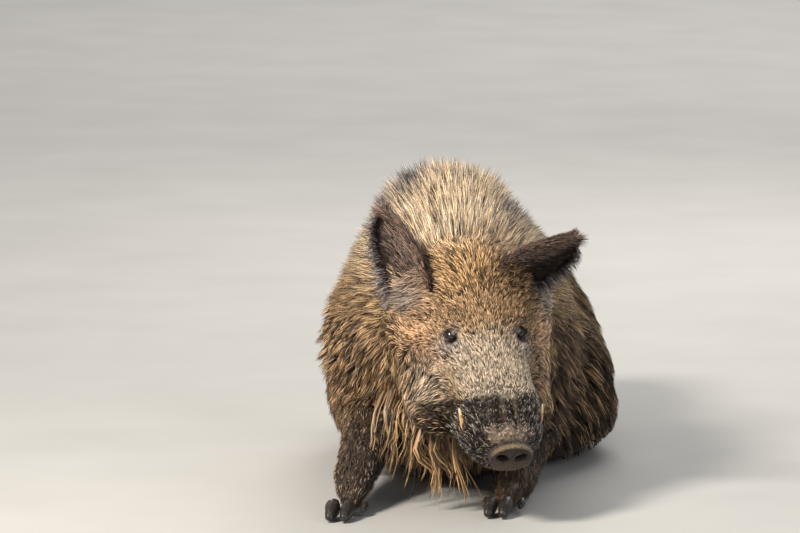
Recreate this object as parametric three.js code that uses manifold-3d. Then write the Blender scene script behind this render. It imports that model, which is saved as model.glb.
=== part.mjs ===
// A life-size wild boar lying on its belly, head lowered and turned to its left. Millimetres, +Z up.
// The head points to -Y, the boar's left side is +X, and the floor is the plane z = 0.
// The origin is on the floor, on the flat of the breast below the withers.
// Every solid is drawn out to the tips of the coat.
import * as THREE from "three";
import { mergeVertices } from "three/addons/utils/BufferGeometryUtils.js";
import Module from "manifold-3d";

const wasm = await Module();
wasm.setup();

// ---------------------------------------------------------------- driving sizes
const GAP = 0.5; // the thin cut between two neighbours
const SLIVER = 0.4;
const WITHERS = 644; // height of the mane's tips above the floor
const FLANK = 304; // half the width of the belly as it spreads on the floor
const SHOULDER = 252; // half the width across the shoulders
const SNOUT_AT = new THREE.Vector3(185, -580, 135); // middle of the snout's disc
const HEAD_YAW = THREE.MathUtils.degToRad(24); // turned to the boar's left
const HEAD_PITCH = THREE.MathUtils.degToRad(40); // lowered below the horizontal
const HEAD_BACK = 440; // from the snout's disc to the cut behind the ears, at the poll
const MUZZLE_BACK = 214; // from the disc to the cut in front of the eyes
const DISC = { thick: 17, halfWidth: 45, halfHeight: 36 };
const EYE = { side: 70, back: 274, up: 57, radius: 13 };
const EAR = { length: 186, width: 60, cup: 25, thick: 10, rim: 3.4 };
// Sizes of the cells that the surfaces are drawn with.
const CELL = { muzzle: 27, head: 36, neck: 56, trunk: 76, upperLeg: 68, lowerLeg: 48, locks: 36, tail: 24 };

const V = (x, y, z) => new THREE.Vector3(x, y, z);

// ---------------------------------------------------------------- the head's own frame
// side: to the boar's left, back: from the disc towards the neck, up: out of the forehead.
const headSide = V(Math.cos(HEAD_YAW), Math.sin(HEAD_YAW), 0);
const headBack = V(
  -Math.sin(HEAD_YAW) * Math.cos(HEAD_PITCH),
  Math.cos(HEAD_YAW) * Math.cos(HEAD_PITCH),
  Math.sin(HEAD_PITCH),
);
const headUp = new THREE.Vector3().crossVectors(headSide, headBack);
const headMatrix = new THREE.Matrix4().makeBasis(headSide, headBack, headUp).setPosition(SNOUT_AT);
const onHead = (side, back, up) => V(side, back, up).applyMatrix4(headMatrix);
const headTurn = new THREE.Quaternion().setFromRotationMatrix(headMatrix);

// ---------------------------------------------------------------- rounded masses, as distances to their surface
// An ellipsoid of radii r about c, turned by the quaternion turn.
function ball(c, r, turn) {
  const inverse = turn ? turn.clone().invert() : null;
  const q = V(0, 0, 0);
  return (p) => {
    q.copy(p).sub(c);
    if (inverse) q.applyQuaternion(inverse);
    const near = Math.hypot(q.x / r.x, q.y / r.y, q.z / r.z);
    const slope = Math.hypot(q.x / r.x ** 2, q.y / r.y ** 2, q.z / r.z ** 2);
    return slope < 1e-9 ? -Math.min(r.x, r.y, r.z) : (near * (near - 1)) / slope;
  };
}

// A tapering rounded rod from a, of radius ra, to b, of radius rb.
function rod(a, ra, b, rb) {
  const along = b.clone().sub(a);
  const q = V(0, 0, 0);
  return (p) => {
    q.copy(p).sub(a);
    const h = THREE.MathUtils.clamp(q.dot(along) / along.lengthSq(), 0, 1);
    return q.addScaledVector(along, -h).length() - (ra + (rb - ra) * h);
  };
}

// Rods through a list of [point, radius] joints.
function chain(joints) {
  const rods = joints.slice(1).map(([b, rb], i) => rod(joints[i][0], joints[i][1], b, rb));
  return (p) => Math.min(...rods.map((r) => r(p)));
}

// Joins masses with a fillet of about the size given.
function blend(fillet, ...masses) {
  return (p) =>
    masses.reduce((sum, mass) => {
      const d = mass(p);
      const h = Math.max(fillet - Math.abs(sum - d), 0) / fillet;
      return Math.min(sum, d) - (h * h * fillet) / 4;
    }, 1e4);
}

const pair = (make) => [1, -1].map(make);

// ---------------------------------------------------------------- trunk, neck and head
function trunkMasses() {
  const chest = ball(V(0, 40, 252), V(SHOULDER - 20, 300, 276));
  const bellies = pair((s) => ball(V(s * 95, 300, 146), V(FLANK - 103, 285, 190)));
  const shoulders = pair((s) => ball(V(s * 112, -40, 286), V(SHOULDER - 106, 180, 166)));
  const loin = ball(V(0, 400, 292), V(164, 400, 206));
  const rump = ball(V(0, 660, 236), V(176, 240, 206));
  const haunches = pair((s) => ball(V(s * 130, 640, 154), V(108, 176, 150)));
  const withers = ball(V(-14, 20, 412), V(176, 250, 188));
  return blend(52, chest, ...bellies, ...shoulders, loin, rump, ...haunches, withers);
}

function neckMasses() {
  const sides = pair((s) => ball(V(22 + s * 84, -175, 370), V(118, 180, 176)));
  const crest = ball(V(14, -175, 404), V(134, 200, 150));
  const throat = ball(V(45, -215, 240), V(128, 122, 132));
  return blend(60, ...sides, crest, throat);
}

// The standing mane, from the poll over the withers and down the back. It is broadest over the withers.
function maneRidge() {
  const top = WITHERS - 66;
  const ridge = chain([
    [V(52, -300, 462), 44],
    [V(22, -170, 542), 54],
    [V(-14, 5, top), 62],
    [V(-8, 190, 545), 50],
    [V(0, 400, 458), 44],
  ]);
  return blend(30, ridge, ...pair((s) => ball(V(-22 + s * 42, 10, top - 12), V(72, 120, 64))));
}

function skullMasses() {
  const mass = (side, back, up, r) => ball(onHead(side, back, up), r, headTurn);
  const snout = rod(onHead(0, 22, 0), 38, onHead(0, 130, -6), 50);
  const muzzle = mass(0, 122, -2, V(72, 104, 50));
  const lips = pair((s) => mass(s * 48, 106, -20, V(36, 68, 42)));
  const bridge = mass(0, 206, 20, V(78, 128, 54));
  const forehead = mass(0, 345, 28, V(98, 122, 80));
  const brows = pair((s) => mass(s * 56, 300, 56, V(26, 40, 24)));
  const cheeks = pair((s) => mass(s * 82, 330, -26, V(68, 108, 84)));
  const jowls = pair((s) => mass(s * 62, 368, -88, V(80, 98, 68)));
  const whiskers = pair((s) => mass(s * 84, 232, -72, V(64, 96, 54)));
  const poll = mass(0, 430, 38, V(98, 92, 84));
  const upper = blend(30, snout, muzzle, ...lips, bridge, forehead, ...brows);
  const skull = blend(40, upper, ...cheeks, ...jowls, ...whiskers, poll);
  const chin = mass(0, 118, -58, V(60, 90, 36));
  const jaw = rod(onHead(0, 80, -50), 28, onHead(0, 300, -86), 74);
  return blend(22, skull, chin, jaw);
}

function torsoMasses() {
  const body = blend(85, trunkMasses(), neckMasses());
  return blend(60, blend(55, body, maneRidge()), skullMasses());
}

// ---------------------------------------------------------------- legs
// Each leg is given for the boar's left side (side 1) or right (-1), as [joint, radius] from the body to the foot.
// oval is where the shoulder or thigh parts from the trunk, seen from the side.
// The hind legs are folded with the feet forward. The forelegs are stretched forward, the right one further.
const SHOULDER_OVAL = { y: -22, z: 205, ry: 158, rz: 232 };
const THIGH_OVAL = { y: 648, z: 165, ry: 208, rz: 225 };
const HIND = {
  upper: [[V(72, 690, 228), 116], [V(158, 525, 118), 86]],
  lower: [[V(164, 535, 92), 68], [V(170, 760, 62), 50], [V(174, 806, 46), 40]],
  foot: [[V(178, 800, 36), 38], [V(212, 622, 29), 31]],
  toes: { at: V(215, 612, 30), heading: V(0.1, -1, 0) },
  oval: THIGH_OVAL,
};
const LEGS = {
  foreleg_left: {
    side: 1,
    upper: [[V(128, -40, 320), 100], [V(152, -30, 130), 76]],
    lower: [[V(152, -70, 92), 62], [V(160, -300, 44), 42]],
    foot: [[V(160, -306, 42), 40], [V(148, -420, 29), 31]],
    toes: { at: V(147, -432, 32), heading: V(-0.08, -1, 0) },
    oval: SHOULDER_OVAL,
  },
  foreleg_right: {
    side: -1,
    upper: [[V(128, -50, 320), 102], [V(142, -95, 150), 80]],
    lower: [[V(138, -125, 142), 70], [V(142, -392, 70), 43]],
    foot: [[V(143, -400, 62), 41], [V(152, -500, 29), 31]],
    toes: { at: V(153, -512, 36), heading: V(0.1, -1, 0) },
    oval: SHOULDER_OVAL,
  },
  hindleg_left: { side: 1, ...HIND },
  hindleg_right: { side: -1, ...HIND },
};

const sided = (side, p) => V(side * p.x, p.y, p.z);
const legChain = (leg, joints) => chain(joints.map(([p, r]) => [sided(leg.side, p), r]));
const upperMass = (leg) => legChain(leg, leg.upper);
const lowerMass = (leg) => blend(26, legChain(leg, leg.lower), legChain(leg, leg.foot));

// ---------------------------------------------------------------- surfaces
const STEP = 0.5; // for slopes of a distance, in millimetres

function slopeOf(mass, p) {
  const q = p.clone();
  const slope = ["x", "y", "z"].map((axis) => {
    q[axis] = p[axis] + STEP;
    const ahead = mass(q);
    q[axis] = p[axis] - STEP;
    const behind = mass(q);
    q[axis] = p[axis];
    return (ahead - behind) / (2 * STEP);
  });
  return V(...slope);
}

// Meshes a mass inside a box with one vertex in each cell that its surface crosses.
function surface(mass, box, cell) {
  const lo = box.min.clone().addScalar(-1.5 * cell);
  const size = box.getSize(V(0, 0, 0));
  const n = ["x", "y", "z"].map((axis) => Math.ceil(size[axis] / cell) + 4);
  const index = (i, j, k) => i + n[0] * (j + n[1] * k);
  const values = new Float64Array(n[0] * n[1] * n[2]);
  const p = V(0, 0, 0);
  for (let k = 0; k < n[2]; k++)
    for (let j = 0; j < n[1]; j++)
      for (let i = 0; i < n[0]; i++) {
        const rim = i === 0 || j === 0 || k === 0 || i === n[0] - 1 || j === n[1] - 1 || k === n[2] - 1;
        p.set(lo.x + i * cell, lo.y + j * cell, lo.z + k * cell);
        values[index(i, j, k)] = rim ? cell : mass(p);
      }
  const vertexOf = new Map();
  const vertices = [];
  const corners = [0, 1, 2, 3, 4, 5, 6, 7].map((c) => [c & 1, (c >> 1) & 1, c >> 2]);
  const edges = [];
  corners.forEach((a, i) =>
    corners.forEach((b, j) => {
      if (i < j && Math.abs(a[0] - b[0]) + Math.abs(a[1] - b[1]) + Math.abs(a[2] - b[2]) === 1) edges.push([i, j]);
    }),
  );
  for (let k = 0; k < n[2] - 1; k++)
    for (let j = 0; j < n[1] - 1; j++)
      for (let i = 0; i < n[0] - 1; i++) {
        const f = corners.map(([a, b, c]) => values[index(i + a, j + b, k + c)]);
        if (f.every((x) => x < 0) || f.every((x) => x >= 0)) continue;
        const sum = V(0, 0, 0);
        let crossings = 0;
        for (const [a, b] of edges) {
          if (f[a] < 0 === f[b] < 0) continue;
          const h = f[a] / (f[a] - f[b]);
          sum.add(V(...corners[a]).lerp(V(...corners[b]), h));
          crossings++;
        }
        sum.divideScalar(crossings).add(V(i, j, k)).multiplyScalar(cell).add(lo);
        vertexOf.set(index(i, j, k), vertices.length);
        vertices.push(sum);
      }
  const triangles = [];
  const quad = (a, b, c, d, flip) => {
    const [p0, p1, p2, p3] = [a, b, c, d].map((key) => vertexOf.get(key));
    const faces = [[p0, p1, p2], [p0, p2, p3]];
    for (const face of faces) triangles.push(...(flip ? face.reverse() : face));
  };
  for (let k = 0; k < n[2] - 1; k++)
    for (let j = 0; j < n[1] - 1; j++)
      for (let i = 0; i < n[0] - 1; i++) {
        const here = values[index(i, j, k)] < 0;
        if (here !== values[index(i + 1, j, k)] < 0)
          quad(index(i, j - 1, k - 1), index(i, j, k - 1), index(i, j, k), index(i, j - 1, k), !here);
        if (here !== values[index(i, j + 1, k)] < 0)
          quad(index(i - 1, j, k - 1), index(i - 1, j, k), index(i, j, k), index(i, j, k - 1), !here);
        if (here !== values[index(i, j, k + 1)] < 0)
          quad(index(i - 1, j - 1, k), index(i, j - 1, k), index(i, j, k), index(i - 1, j, k), !here);
      }
  for (const v of vertices)
    for (let round = 0; round < 3; round++) {
      const slope = slopeOf(mass, v);
      const move = THREE.MathUtils.clamp(mass(v), -cell / 3, cell / 3) / Math.max(slope.lengthSq(), 0.2);
      v.addScaledVector(slope, -move);
    }
  const positions = new Float32Array(vertices.flatMap((v) => v.toArray()));
  return new THREE.BufferGeometry()
    .setAttribute("position", new THREE.BufferAttribute(positions, 3))
    .setIndex(triangles);
}

// ---------------------------------------------------------------- solids
function solid(geometry) {
  const bare = geometry.clone();
  bare.deleteAttribute("normal");
  bare.deleteAttribute("uv");
  const merged = mergeVertices(bare, 1e-3);
  return new wasm.Manifold(
    new wasm.Mesh({
      numProp: 3,
      vertProperties: merged.attributes.position.array,
      triVerts: new Uint32Array(merged.index.array),
    }),
  );
}

// The surface of a solid, with the slivers that a cut leaves closed up: edges shorter than SLIVER are drawn together.
function geometryOf(made) {
  const { vertProperties, triVerts, numVert } = made.getMesh();
  const places = Array.from({ length: numVert }, (_, i) => new THREE.Vector3().fromArray(vertProperties, 3 * i));
  const faces = Array.from({ length: triVerts.length / 3 }, (_, i) => [...triVerts.subarray(3 * i, 3 * i + 3)]);
  const facesAt = places.map(() => new Set());
  for (const face of faces) for (const v of face) facesAt[v].add(face);
  const neighbours = (v) => new Set([...facesAt[v]].flat().filter((w) => w !== v));
  const normalOf = (face) => new THREE.Triangle(...face.map((v) => places[v])).getNormal(V(0, 0, 0));
  const moved = (face, from, to) => face.map((v) => (v === from ? to : v));
  const canMove = (from, to) => {
    const near = neighbours(to);
    const shared = [...neighbours(from)].filter((v) => near.has(v)).length;
    const others = [...facesAt[from]].filter((face) => !face.includes(to));
    return shared === 2 && others.every((face) => normalOf(face).dot(normalOf(moved(face, from, to))) > 0.5);
  };
  const drawTogether = (from, to) => {
    for (const face of [...facesAt[from]]) {
      for (const v of face) facesAt[v].delete(face);
      if (face.includes(to)) continue;
      const next = moved(face, from, to);
      for (const v of next) facesAt[v].add(next);
    }
  };
  for (const face of faces)
    for (const [a, b] of [[face[0], face[1]], [face[1], face[2]], [face[2], face[0]]]) {
      if (!facesAt[a].has(face) || !facesAt[b].has(face) || places[a].distanceTo(places[b]) > SLIVER) continue;
      if (canMove(a, b)) drawTogether(a, b);
      else if (canMove(b, a)) drawTogether(b, a);
    }
  const kept = [...new Set(facesAt.flatMap((set) => [...set]))];
  const flat = new Float32Array(kept.flat().flatMap((v) => places[v].toArray()));
  return mergeVertices(new THREE.BufferGeometry().setAttribute("position", new THREE.BufferAttribute(flat, 3)), 1e-5);
}

// The same surface pushed out along its normals, to cut a neighbour with a gap.
function swollen(geometry, by) {
  const out = geometry.clone();
  out.computeVertexNormals();
  const { position, normal } = out.attributes;
  for (let i = 0; i < position.count; i++)
    position.setXYZ(
      i,
      position.getX(i) + by * normal.getX(i),
      position.getY(i) + by * normal.getY(i),
      position.getZ(i) + by * normal.getZ(i),
    );
  return out;
}

const REACH = 4000;

// Everything on the side of a plane that its normal points away from.
function behind(point, normal, gap = 0) {
  const slab = new THREE.BoxGeometry(REACH, REACH, REACH);
  slab.translate(0, 0, -REACH / 2 - gap);
  slab.applyQuaternion(new THREE.Quaternion().setFromUnitVectors(V(0, 0, 1), normal.clone().normalize()));
  return solid(slab.translate(point.x, point.y, point.z));
}

function headBox(side, back, up, grow = 0) {
  const size = V(side[1] - side[0], back[1] - back[0], up[1] - up[0]).addScalar(2 * grow);
  const block = new THREE.BoxGeometry(size.x, size.y, size.z);
  block.translate((side[0] + side[1]) / 2, (back[0] + back[1]) / 2, (up[0] + up[1]) / 2);
  return solid(block.applyMatrix4(headMatrix));
}

const boxOf = (...corners) => new THREE.Box3().setFromPoints(corners.map((c) => V(...c)));
const floorUp = behind(V(0, 0, 0), V(0, 0, -1));

// The largest piece of a solid, so that a stray crumb of a cut is dropped.
function mainPiece(made) {
  return made.decompose().reduce((a, b) => (b.volume() > a.volume() ? b : a));
}

// ---------------------------------------------------------------- materials
const paint = (color, roughness) => new THREE.MeshStandardMaterial({ color, roughness, metalness: 0 });
const coat = paint(0x8a6d4d, 0.85);
const maneCoat = paint(0xa08460, 0.85);
const darkCoat = paint(0x3d332b, 0.85);
const earCoat = paint(0x4b3a30, 0.85);
const discSkin = paint(0x5b4a3e, 0.55);
const horn = paint(0x2b2623, 0.5);
const ivory = paint(0xd8c8a2, 0.35);
const eyeDark = paint(0x1c1310, 0.08);

const boar = new THREE.Group();

function add(name, made, material) {
  const mesh = new THREE.Mesh(geometryOf(mainPiece(made)), material);
  mesh.name = name;
  boar.add(mesh);
}

// ---------------------------------------------------------------- head
const torso = torsoMasses();
const HEAD_CUT = { at: onHead(0, HEAD_BACK, 60), normal: V(-0.4, 0.9, 0.17).normalize() };
const NECK_CUT = { at: V(18, -120, 300), normal: V(-0.12, 0.93, -0.3).normalize() };
const JAW = { side: [-160, 160], back: [34, 250], up: [-260, -43] };

// The corners of the head, from one distance behind the disc to another.
function headSpan(from, to) {
  const corners = [-175, 175].flatMap((side) =>
    [from, to].flatMap((back) => [-215, 165].map((up) => onHead(side, back, up))),
  );
  return new THREE.Box3().setFromPoints(corners);
}

function buildHead() {
  const jawBlock = headBox(JAW.side, JAW.back, JAW.up);
  const jawRoom = headBox(JAW.side, JAW.back, JAW.up, GAP);
  let skull = solid(headSurface)
    .intersect(behind(HEAD_CUT.at, HEAD_CUT.normal))
    .intersect(behind(onHead(0, MUZZLE_BACK, 0), headBack.clone().negate(), GAP))
    .intersect(floorUp)
    .subtract(jawRoom);
  for (const s of [1, -1]) skull = skull.subtract(solid(eyeBall(s, GAP))).subtract(solid(eyeSocket(s)));
  for (const leg of [LEGS.foreleg_left, LEGS.foreleg_right]) skull = skull.subtract(upperRoom(leg, GAP));
  let snout = solid(muzzleSurface).intersect(behind(onHead(0, DISC.thick, 0), headBack.clone().negate(), GAP));
  for (const s of [1, -1]) snout = snout.subtract(solid(tuskShape(s, GAP)));
  add("head", skull, coat);
  add("muzzle", snout.intersect(behind(onHead(0, MUZZLE_BACK, 0), headBack)).subtract(jawRoom), darkCoat);
  add("lower_jaw", snout.intersect(jawBlock), darkCoat);
}

function eyeBall(s, grow = 0) {
  const at = onHead(s * EYE.side, EYE.back, EYE.up);
  return new THREE.SphereGeometry(EYE.radius + grow, 10, 7).translate(at.x, at.y, at.z);
}

// The hollow in front of the eye, between the lids.
function eyeSocket(s) {
  const at = onHead(s * (EYE.side + 9), EYE.back - 10, EYE.up + 11);
  return new THREE.SphereGeometry(16, 9, 6).translate(at.x, at.y, at.z);
}

// The bare disc at the tip of the snout, with its two nostrils.
function buildDisc() {
  const bevel = 4;
  const oval = new THREE.Shape();
  oval.absellipse(0, 0, DISC.halfWidth - bevel, DISC.halfHeight - bevel, 0, 2 * Math.PI, false, 0);
  const plate = new THREE.ExtrudeGeometry(oval, {
    depth: DISC.thick - 2 * bevel,
    bevelSize: bevel,
    bevelThickness: bevel,
    bevelSegments: 1,
    curveSegments: 9,
  });
  plate.translate(0, 0, bevel).rotateX(-Math.PI / 2).applyMatrix4(headMatrix);
  let disc = solid(plate);
  for (const s of [1, -1]) {
    const nostril = new THREE.CylinderGeometry(8.5, 6, 2 * DISC.thick - 8, 10);
    nostril.scale(1, 1, 0.8).rotateZ(s * 0.25).rotateY(s * 0.35).translate(s * 17, 0, -1);
    disc = disc.subtract(solid(nostril.applyMatrix4(headMatrix)));
  }
  add("snout_disc", disc, discSkin);
}

// A lower tusk, curving up and out from beneath the lip.
function tuskShape(s, grow = 0) {
  const path = new THREE.CatmullRomCurve3([
    onHead(s * 52, 98, -48),
    onHead(s * 70, 98, -26),
    onHead(s * 82, 104, -4),
    onHead(s * 85, 113, 20),
  ]);
  const steps = 7;
  const sides = 6;
  const frames = path.computeFrenetFrames(steps, false);
  const points = [];
  for (let i = 0; i < steps; i++)
    for (let j = 0; j < sides; j++) {
      const turn = (2 * Math.PI * j) / sides;
      const r = 7.5 * Math.sqrt(1 - i / steps) + grow;
      const ring = frames.normals[i].clone().multiplyScalar(r * Math.cos(turn));
      ring.addScaledVector(frames.binormals[i], r * Math.sin(turn));
      points.push(ring.add(path.getPoint(i / steps)));
    }
  const root = points.length;
  points.push(path.getPoint(0), path.getPoint(1).addScaledVector(frames.tangents[steps], grow));
  const triangles = [];
  for (let j = 0; j < sides; j++) {
    const next = (j + 1) % sides;
    triangles.push(root, next, j, root + 1, (steps - 1) * sides + j, (steps - 1) * sides + next);
    for (let i = 0; i < steps - 1; i++) {
      const [a, b, c, d] = [i * sides + j, i * sides + next, (i + 1) * sides + next, (i + 1) * sides + j];
      triangles.push(a, b, c, a, c, d);
    }
  }
  const flat = new Float32Array(points.flatMap((v) => v.toArray()));
  return new THREE.BufferGeometry().setAttribute("position", new THREE.BufferAttribute(flat, 3)).setIndex(triangles);
}

// A cupped ear. along runs from root to tip, and facing is the way its hollow looks.
function earShape({ root, along, facing }) {
  const tip = along.clone().normalize();
  const across = new THREE.Vector3().crossVectors(tip, facing).normalize();
  const out = new THREE.Vector3().crossVectors(across, tip).normalize();
  const rows = 7;
  const columns = 6;
  const points = [];
  for (const wall of [1, -1])
    for (let i = 0; i <= rows; i++)
      for (let j = 0; j <= columns; j++) {
        const u = i / rows;
        const turn = 1.25 * ((2 * j) / columns - 1);
        const half = EAR.width * (0.85 + 0.6 * u) * Math.pow(1.02 - u ** 2, 0.75);
        const thick = EAR.rim + (EAR.thick - EAR.rim) * Math.cos(turn) * (1 - u);
        const cup = EAR.cup * (1 - 0.6 * u) * (1 - 2 * Math.cos(turn));
        const point = root.clone().addScaledVector(tip, EAR.length * u);
        point.addScaledVector(across, half * Math.sin(turn)).addScaledVector(out, cup + (wall * thick) / 2);
        points.push(point);
      }
  const at = (wall, i, j) => (wall * (rows + 1) + i) * (columns + 1) + j;
  const triangles = [];
  const quad = (a, b, c, d) => triangles.push(a, b, c, a, c, d);
  for (let i = 0; i < rows; i++) {
    for (let j = 0; j < columns; j++) {
      quad(at(0, i, j), at(0, i, j + 1), at(0, i + 1, j + 1), at(0, i + 1, j));
      quad(at(1, i, j), at(1, i + 1, j), at(1, i + 1, j + 1), at(1, i, j + 1));
    }
    quad(at(1, i, 0), at(0, i, 0), at(0, i + 1, 0), at(1, i + 1, 0));
    quad(at(0, i, columns), at(1, i, columns), at(1, i + 1, columns), at(0, i + 1, columns));
  }
  for (let j = 0; j < columns; j++) {
    quad(at(0, 0, j + 1), at(0, 0, j), at(1, 0, j), at(1, 0, j + 1));
    quad(at(0, rows, j), at(0, rows, j + 1), at(1, rows, j + 1), at(1, rows, j));
  }
  const flat = new Float32Array(points.flatMap((p) => p.toArray()));
  return new THREE.BufferGeometry().setAttribute("position", new THREE.BufferAttribute(flat, 3)).setIndex(triangles);
}

// The left ear is held low and out, open to the front. The right one stands, open to the side.
const EARS = {
  left: { root: V(136, -302, 450), along: V(0.8, -0.32, 0.48), facing: V(0.43, -0.68, -0.59) },
  right: { root: V(-21, -371, 419), along: V(-0.4, 0.05, 0.91), facing: V(-0.66, -0.75, 0) },
};

function buildEars(room) {
  for (const [side, ear] of Object.entries(EARS)) add("ear_" + side, solid(earShape(ear)).subtract(room), earCoat);
}

// ---------------------------------------------------------------- neck, trunk and legs
const LEG_INSIDE = 96; // how far the cuts of the shoulders and thighs stay from the middle
const UPPER_NAMES = { foreleg: "shoulder", hindleg: "thigh" };

// An oval column across the body, from LEG_INSIDE outwards.
function upperRoom({ side, oval }, grow = 0) {
  const length = 300 + grow;
  const column = new THREE.CylinderGeometry(1, 1, length, 22).rotateZ(Math.PI / 2);
  column.scale(1, oval.ry + grow, oval.rz + grow).translate(side * (LEG_INSIDE - grow + length / 2), oval.y, oval.z);
  return solid(column);
}

// The box round a leg's joints.
function lowerBox(leg) {
  const joints = [...leg.lower, ...leg.foot];
  const ends = joints.flatMap(([p, r]) => [sided(leg.side, p).addScalar(r), sided(leg.side, p).addScalar(-r)]);
  return new THREE.Box3().setFromPoints(ends);
}

function buildBody() {
  const legs = Object.entries(LEGS);
  const whole = legs.reduce((body, [, leg]) => blend(30, body, upperMass(leg)), torso);
  let neck = solid(neckSurface)
    .intersect(behind(HEAD_CUT.at, HEAD_CUT.normal.clone().negate(), GAP))
    .intersect(behind(NECK_CUT.at, NECK_CUT.normal))
    .intersect(floorUp);
  const trunkSurface = surface(whole, boxOf([-330, -330, -40], [330, 960, 700]), CELL.trunk);
  const trunkRoom = solid(swollen(trunkSurface, GAP));
  buildTail(trunkRoom);
  let locksRoom = headAndNeckRoom.add(trunkRoom);
  let trunk = solid(trunkSurface)
    .intersect(behind(NECK_CUT.at, NECK_CUT.normal.clone().negate(), GAP))
    .intersect(floorUp);
  for (const [name, leg] of legs) {
    const [kind, side] = name.split("_");
    const { oval } = leg;
    const upperBox = boxOf(
      [leg.side * LEG_INSIDE, oval.y - oval.ry, oval.z - oval.rz],
      [leg.side * 330, oval.y + oval.ry, oval.z + oval.rz],
    );
    const lowerSurface = surface(lowerMass(leg), lowerBox(leg), CELL.lowerLeg);
    const toesRoom = buildToes(name, leg);
    const lowerRoom = solid(swollen(lowerSurface, GAP)).add(toesRoom);
    const upper = solid(surface(whole, upperBox, CELL.upperLeg)).intersect(upperRoom(leg)).intersect(floorUp);
    add(UPPER_NAMES[kind] + "_" + side, upper.subtract(lowerRoom), coat);
    add(name, solid(lowerSurface).intersect(floorUp).subtract(toesRoom), darkCoat);
    locksRoom = locksRoom.add(lowerRoom);
    trunk = trunk.subtract(upperRoom(leg, GAP)).subtract(lowerRoom);
    neck = neck.subtract(upperRoom(leg, GAP)).subtract(lowerRoom);
  }
  add("neck", neck, maneCoat);
  add("trunk", trunk, coat);
  buildLocks(locksRoom);
}

// The wet locks that hang from the right jowl and the throat, as one curtain.
function buildLocks(room) {
  const hanging = [
    [V(-98, -290, 190), V(-104, -296, 46), 23],
    [V(-60, -324, 175), V(-66, -332, 42), 24],
    [V(-20, -344, 160), V(-25, -358, 40), 24],
    [V(22, -362, 150), V(18, -378, 40), 24],
    [V(60, -380, 150), V(60, -396, 44), 22],
    [V(92, -394, 150), V(94, -408, 50), 18],
  ];
  const mass = blend(46, ...hanging.map(([top, low, r]) => rod(top, r + 5, low, r)));
  const locks = solid(surface(mass, boxOf([-130, -430, 10], [120, -250, 220]), CELL.locks));
  add("throat_locks", locks.subtract(room), darkCoat);
}

// ---------------------------------------------------------------- hooves
const TOE = { length: 62, width: 28, high: 38, apart: 14.6 };
const DEWCLAW = { scale: 0.52, apart: 36, behind: 30, high: 9 };

// One claw of the cloven foot, as sections from the heel to the tip: [along, half width, height].
const CLAW = [
  [-0.38, 0.38, 0.92],
  [-0.1, 0.5, 1],
  [0.3, 0.45, 0.74],
  [0.54, 0.28, 0.42],
];

// scale is the claw's size, and grow widens it all round.
function hoofShape(at, heading, apart, scale, grow = 0) {
  const sides = 7;
  const size = scale + (2 * grow) / TOE.width;
  const points = [];
  for (const [along, half, height] of CLAW)
    for (let j = 0; j < sides; j++) {
      const turn = (2 * Math.PI * (j + 0.5)) / sides;
      const across = TOE.width * half * Math.cos(turn);
      const high = TOE.high * height * (0.5 + 0.54 * Math.sin(turn));
      points.push(V(TOE.length * along, high, across).multiplyScalar(size));
    }
  const last = points.length - sides;
  points.push(V(-TOE.length * 0.42, TOE.high * 0.45, 0).multiplyScalar(size));
  points.push(V(TOE.length * 0.62, TOE.high * 0.16, 0).multiplyScalar(size));
  const triangles = [];
  for (let j = 0; j < sides; j++) {
    const next = (j + 1) % sides;
    triangles.push(points.length - 2, j, next, points.length - 1, last + next, last + j);
    for (let i = 0; i < CLAW.length - 1; i++) {
      const [a, b, c, d] = [i * sides + j, i * sides + next, (i + 1) * sides + next, (i + 1) * sides + j];
      triangles.push(a, c, b, a, d, c);
    }
  }
  const flat = new Float32Array(points.flatMap((p) => p.toArray()));
  const up = V(0, 0, 1);
  const cross = new THREE.Vector3().crossVectors(heading, up);
  const frame = new THREE.Matrix4().makeBasis(heading, up, cross);
  frame.setPosition(at.clone().addScaledVector(cross, apart).addScaledVector(up, -grow));
  return new THREE.BufferGeometry()
    .setAttribute("position", new THREE.BufferAttribute(flat, 3))
    .setIndex(triangles)
    .applyMatrix4(frame);
}

// Two toes and two dewclaws. Gives back the room that they take from the leg.
function buildToes(name, leg) {
  const at = sided(leg.side, leg.toes.at);
  const heading = sided(leg.side, leg.toes.heading).normalize();
  let room = floorUp.subtract(floorUp);
  const hoof = (label, place, apart, scale) => {
    room = room.add(solid(hoofShape(place, heading, apart, scale, GAP)));
    add(name + label, solid(hoofShape(place, heading, apart, scale)).intersect(floorUp), horn);
  };
  const toeAt = at.clone().addScaledVector(heading, 26).setZ(3.6);
  const clawAt = at.clone().addScaledVector(heading, -DEWCLAW.behind).setZ(DEWCLAW.high);
  for (const [label, s] of [["a", 1], ["b", -1]]) {
    hoof("_toe_" + label, toeAt, s * TOE.apart, 1);
    hoof("_dewclaw_" + label, clawAt, s * DEWCLAW.apart, DEWCLAW.scale);
  }
  return room;
}

// ---------------------------------------------------------------- tail
// It hangs down the rump and ends in a tassel.
function buildTail(room) {
  const bones = [
    [V(1, 866, 334), 24],
    [V(9, 919, 275), 17],
    [V(22, 938, 190), 14],
    [V(36, 938, 120), 20],
    [V(44, 932, 58), 13],
  ];
  const tail = solid(surface(blend(6, chain(bones)), boxOf([-40, 830, 20], [90, 980, 380]), CELL.tail));
  add("tail", tail.subtract(room), darkCoat);
}

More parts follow.
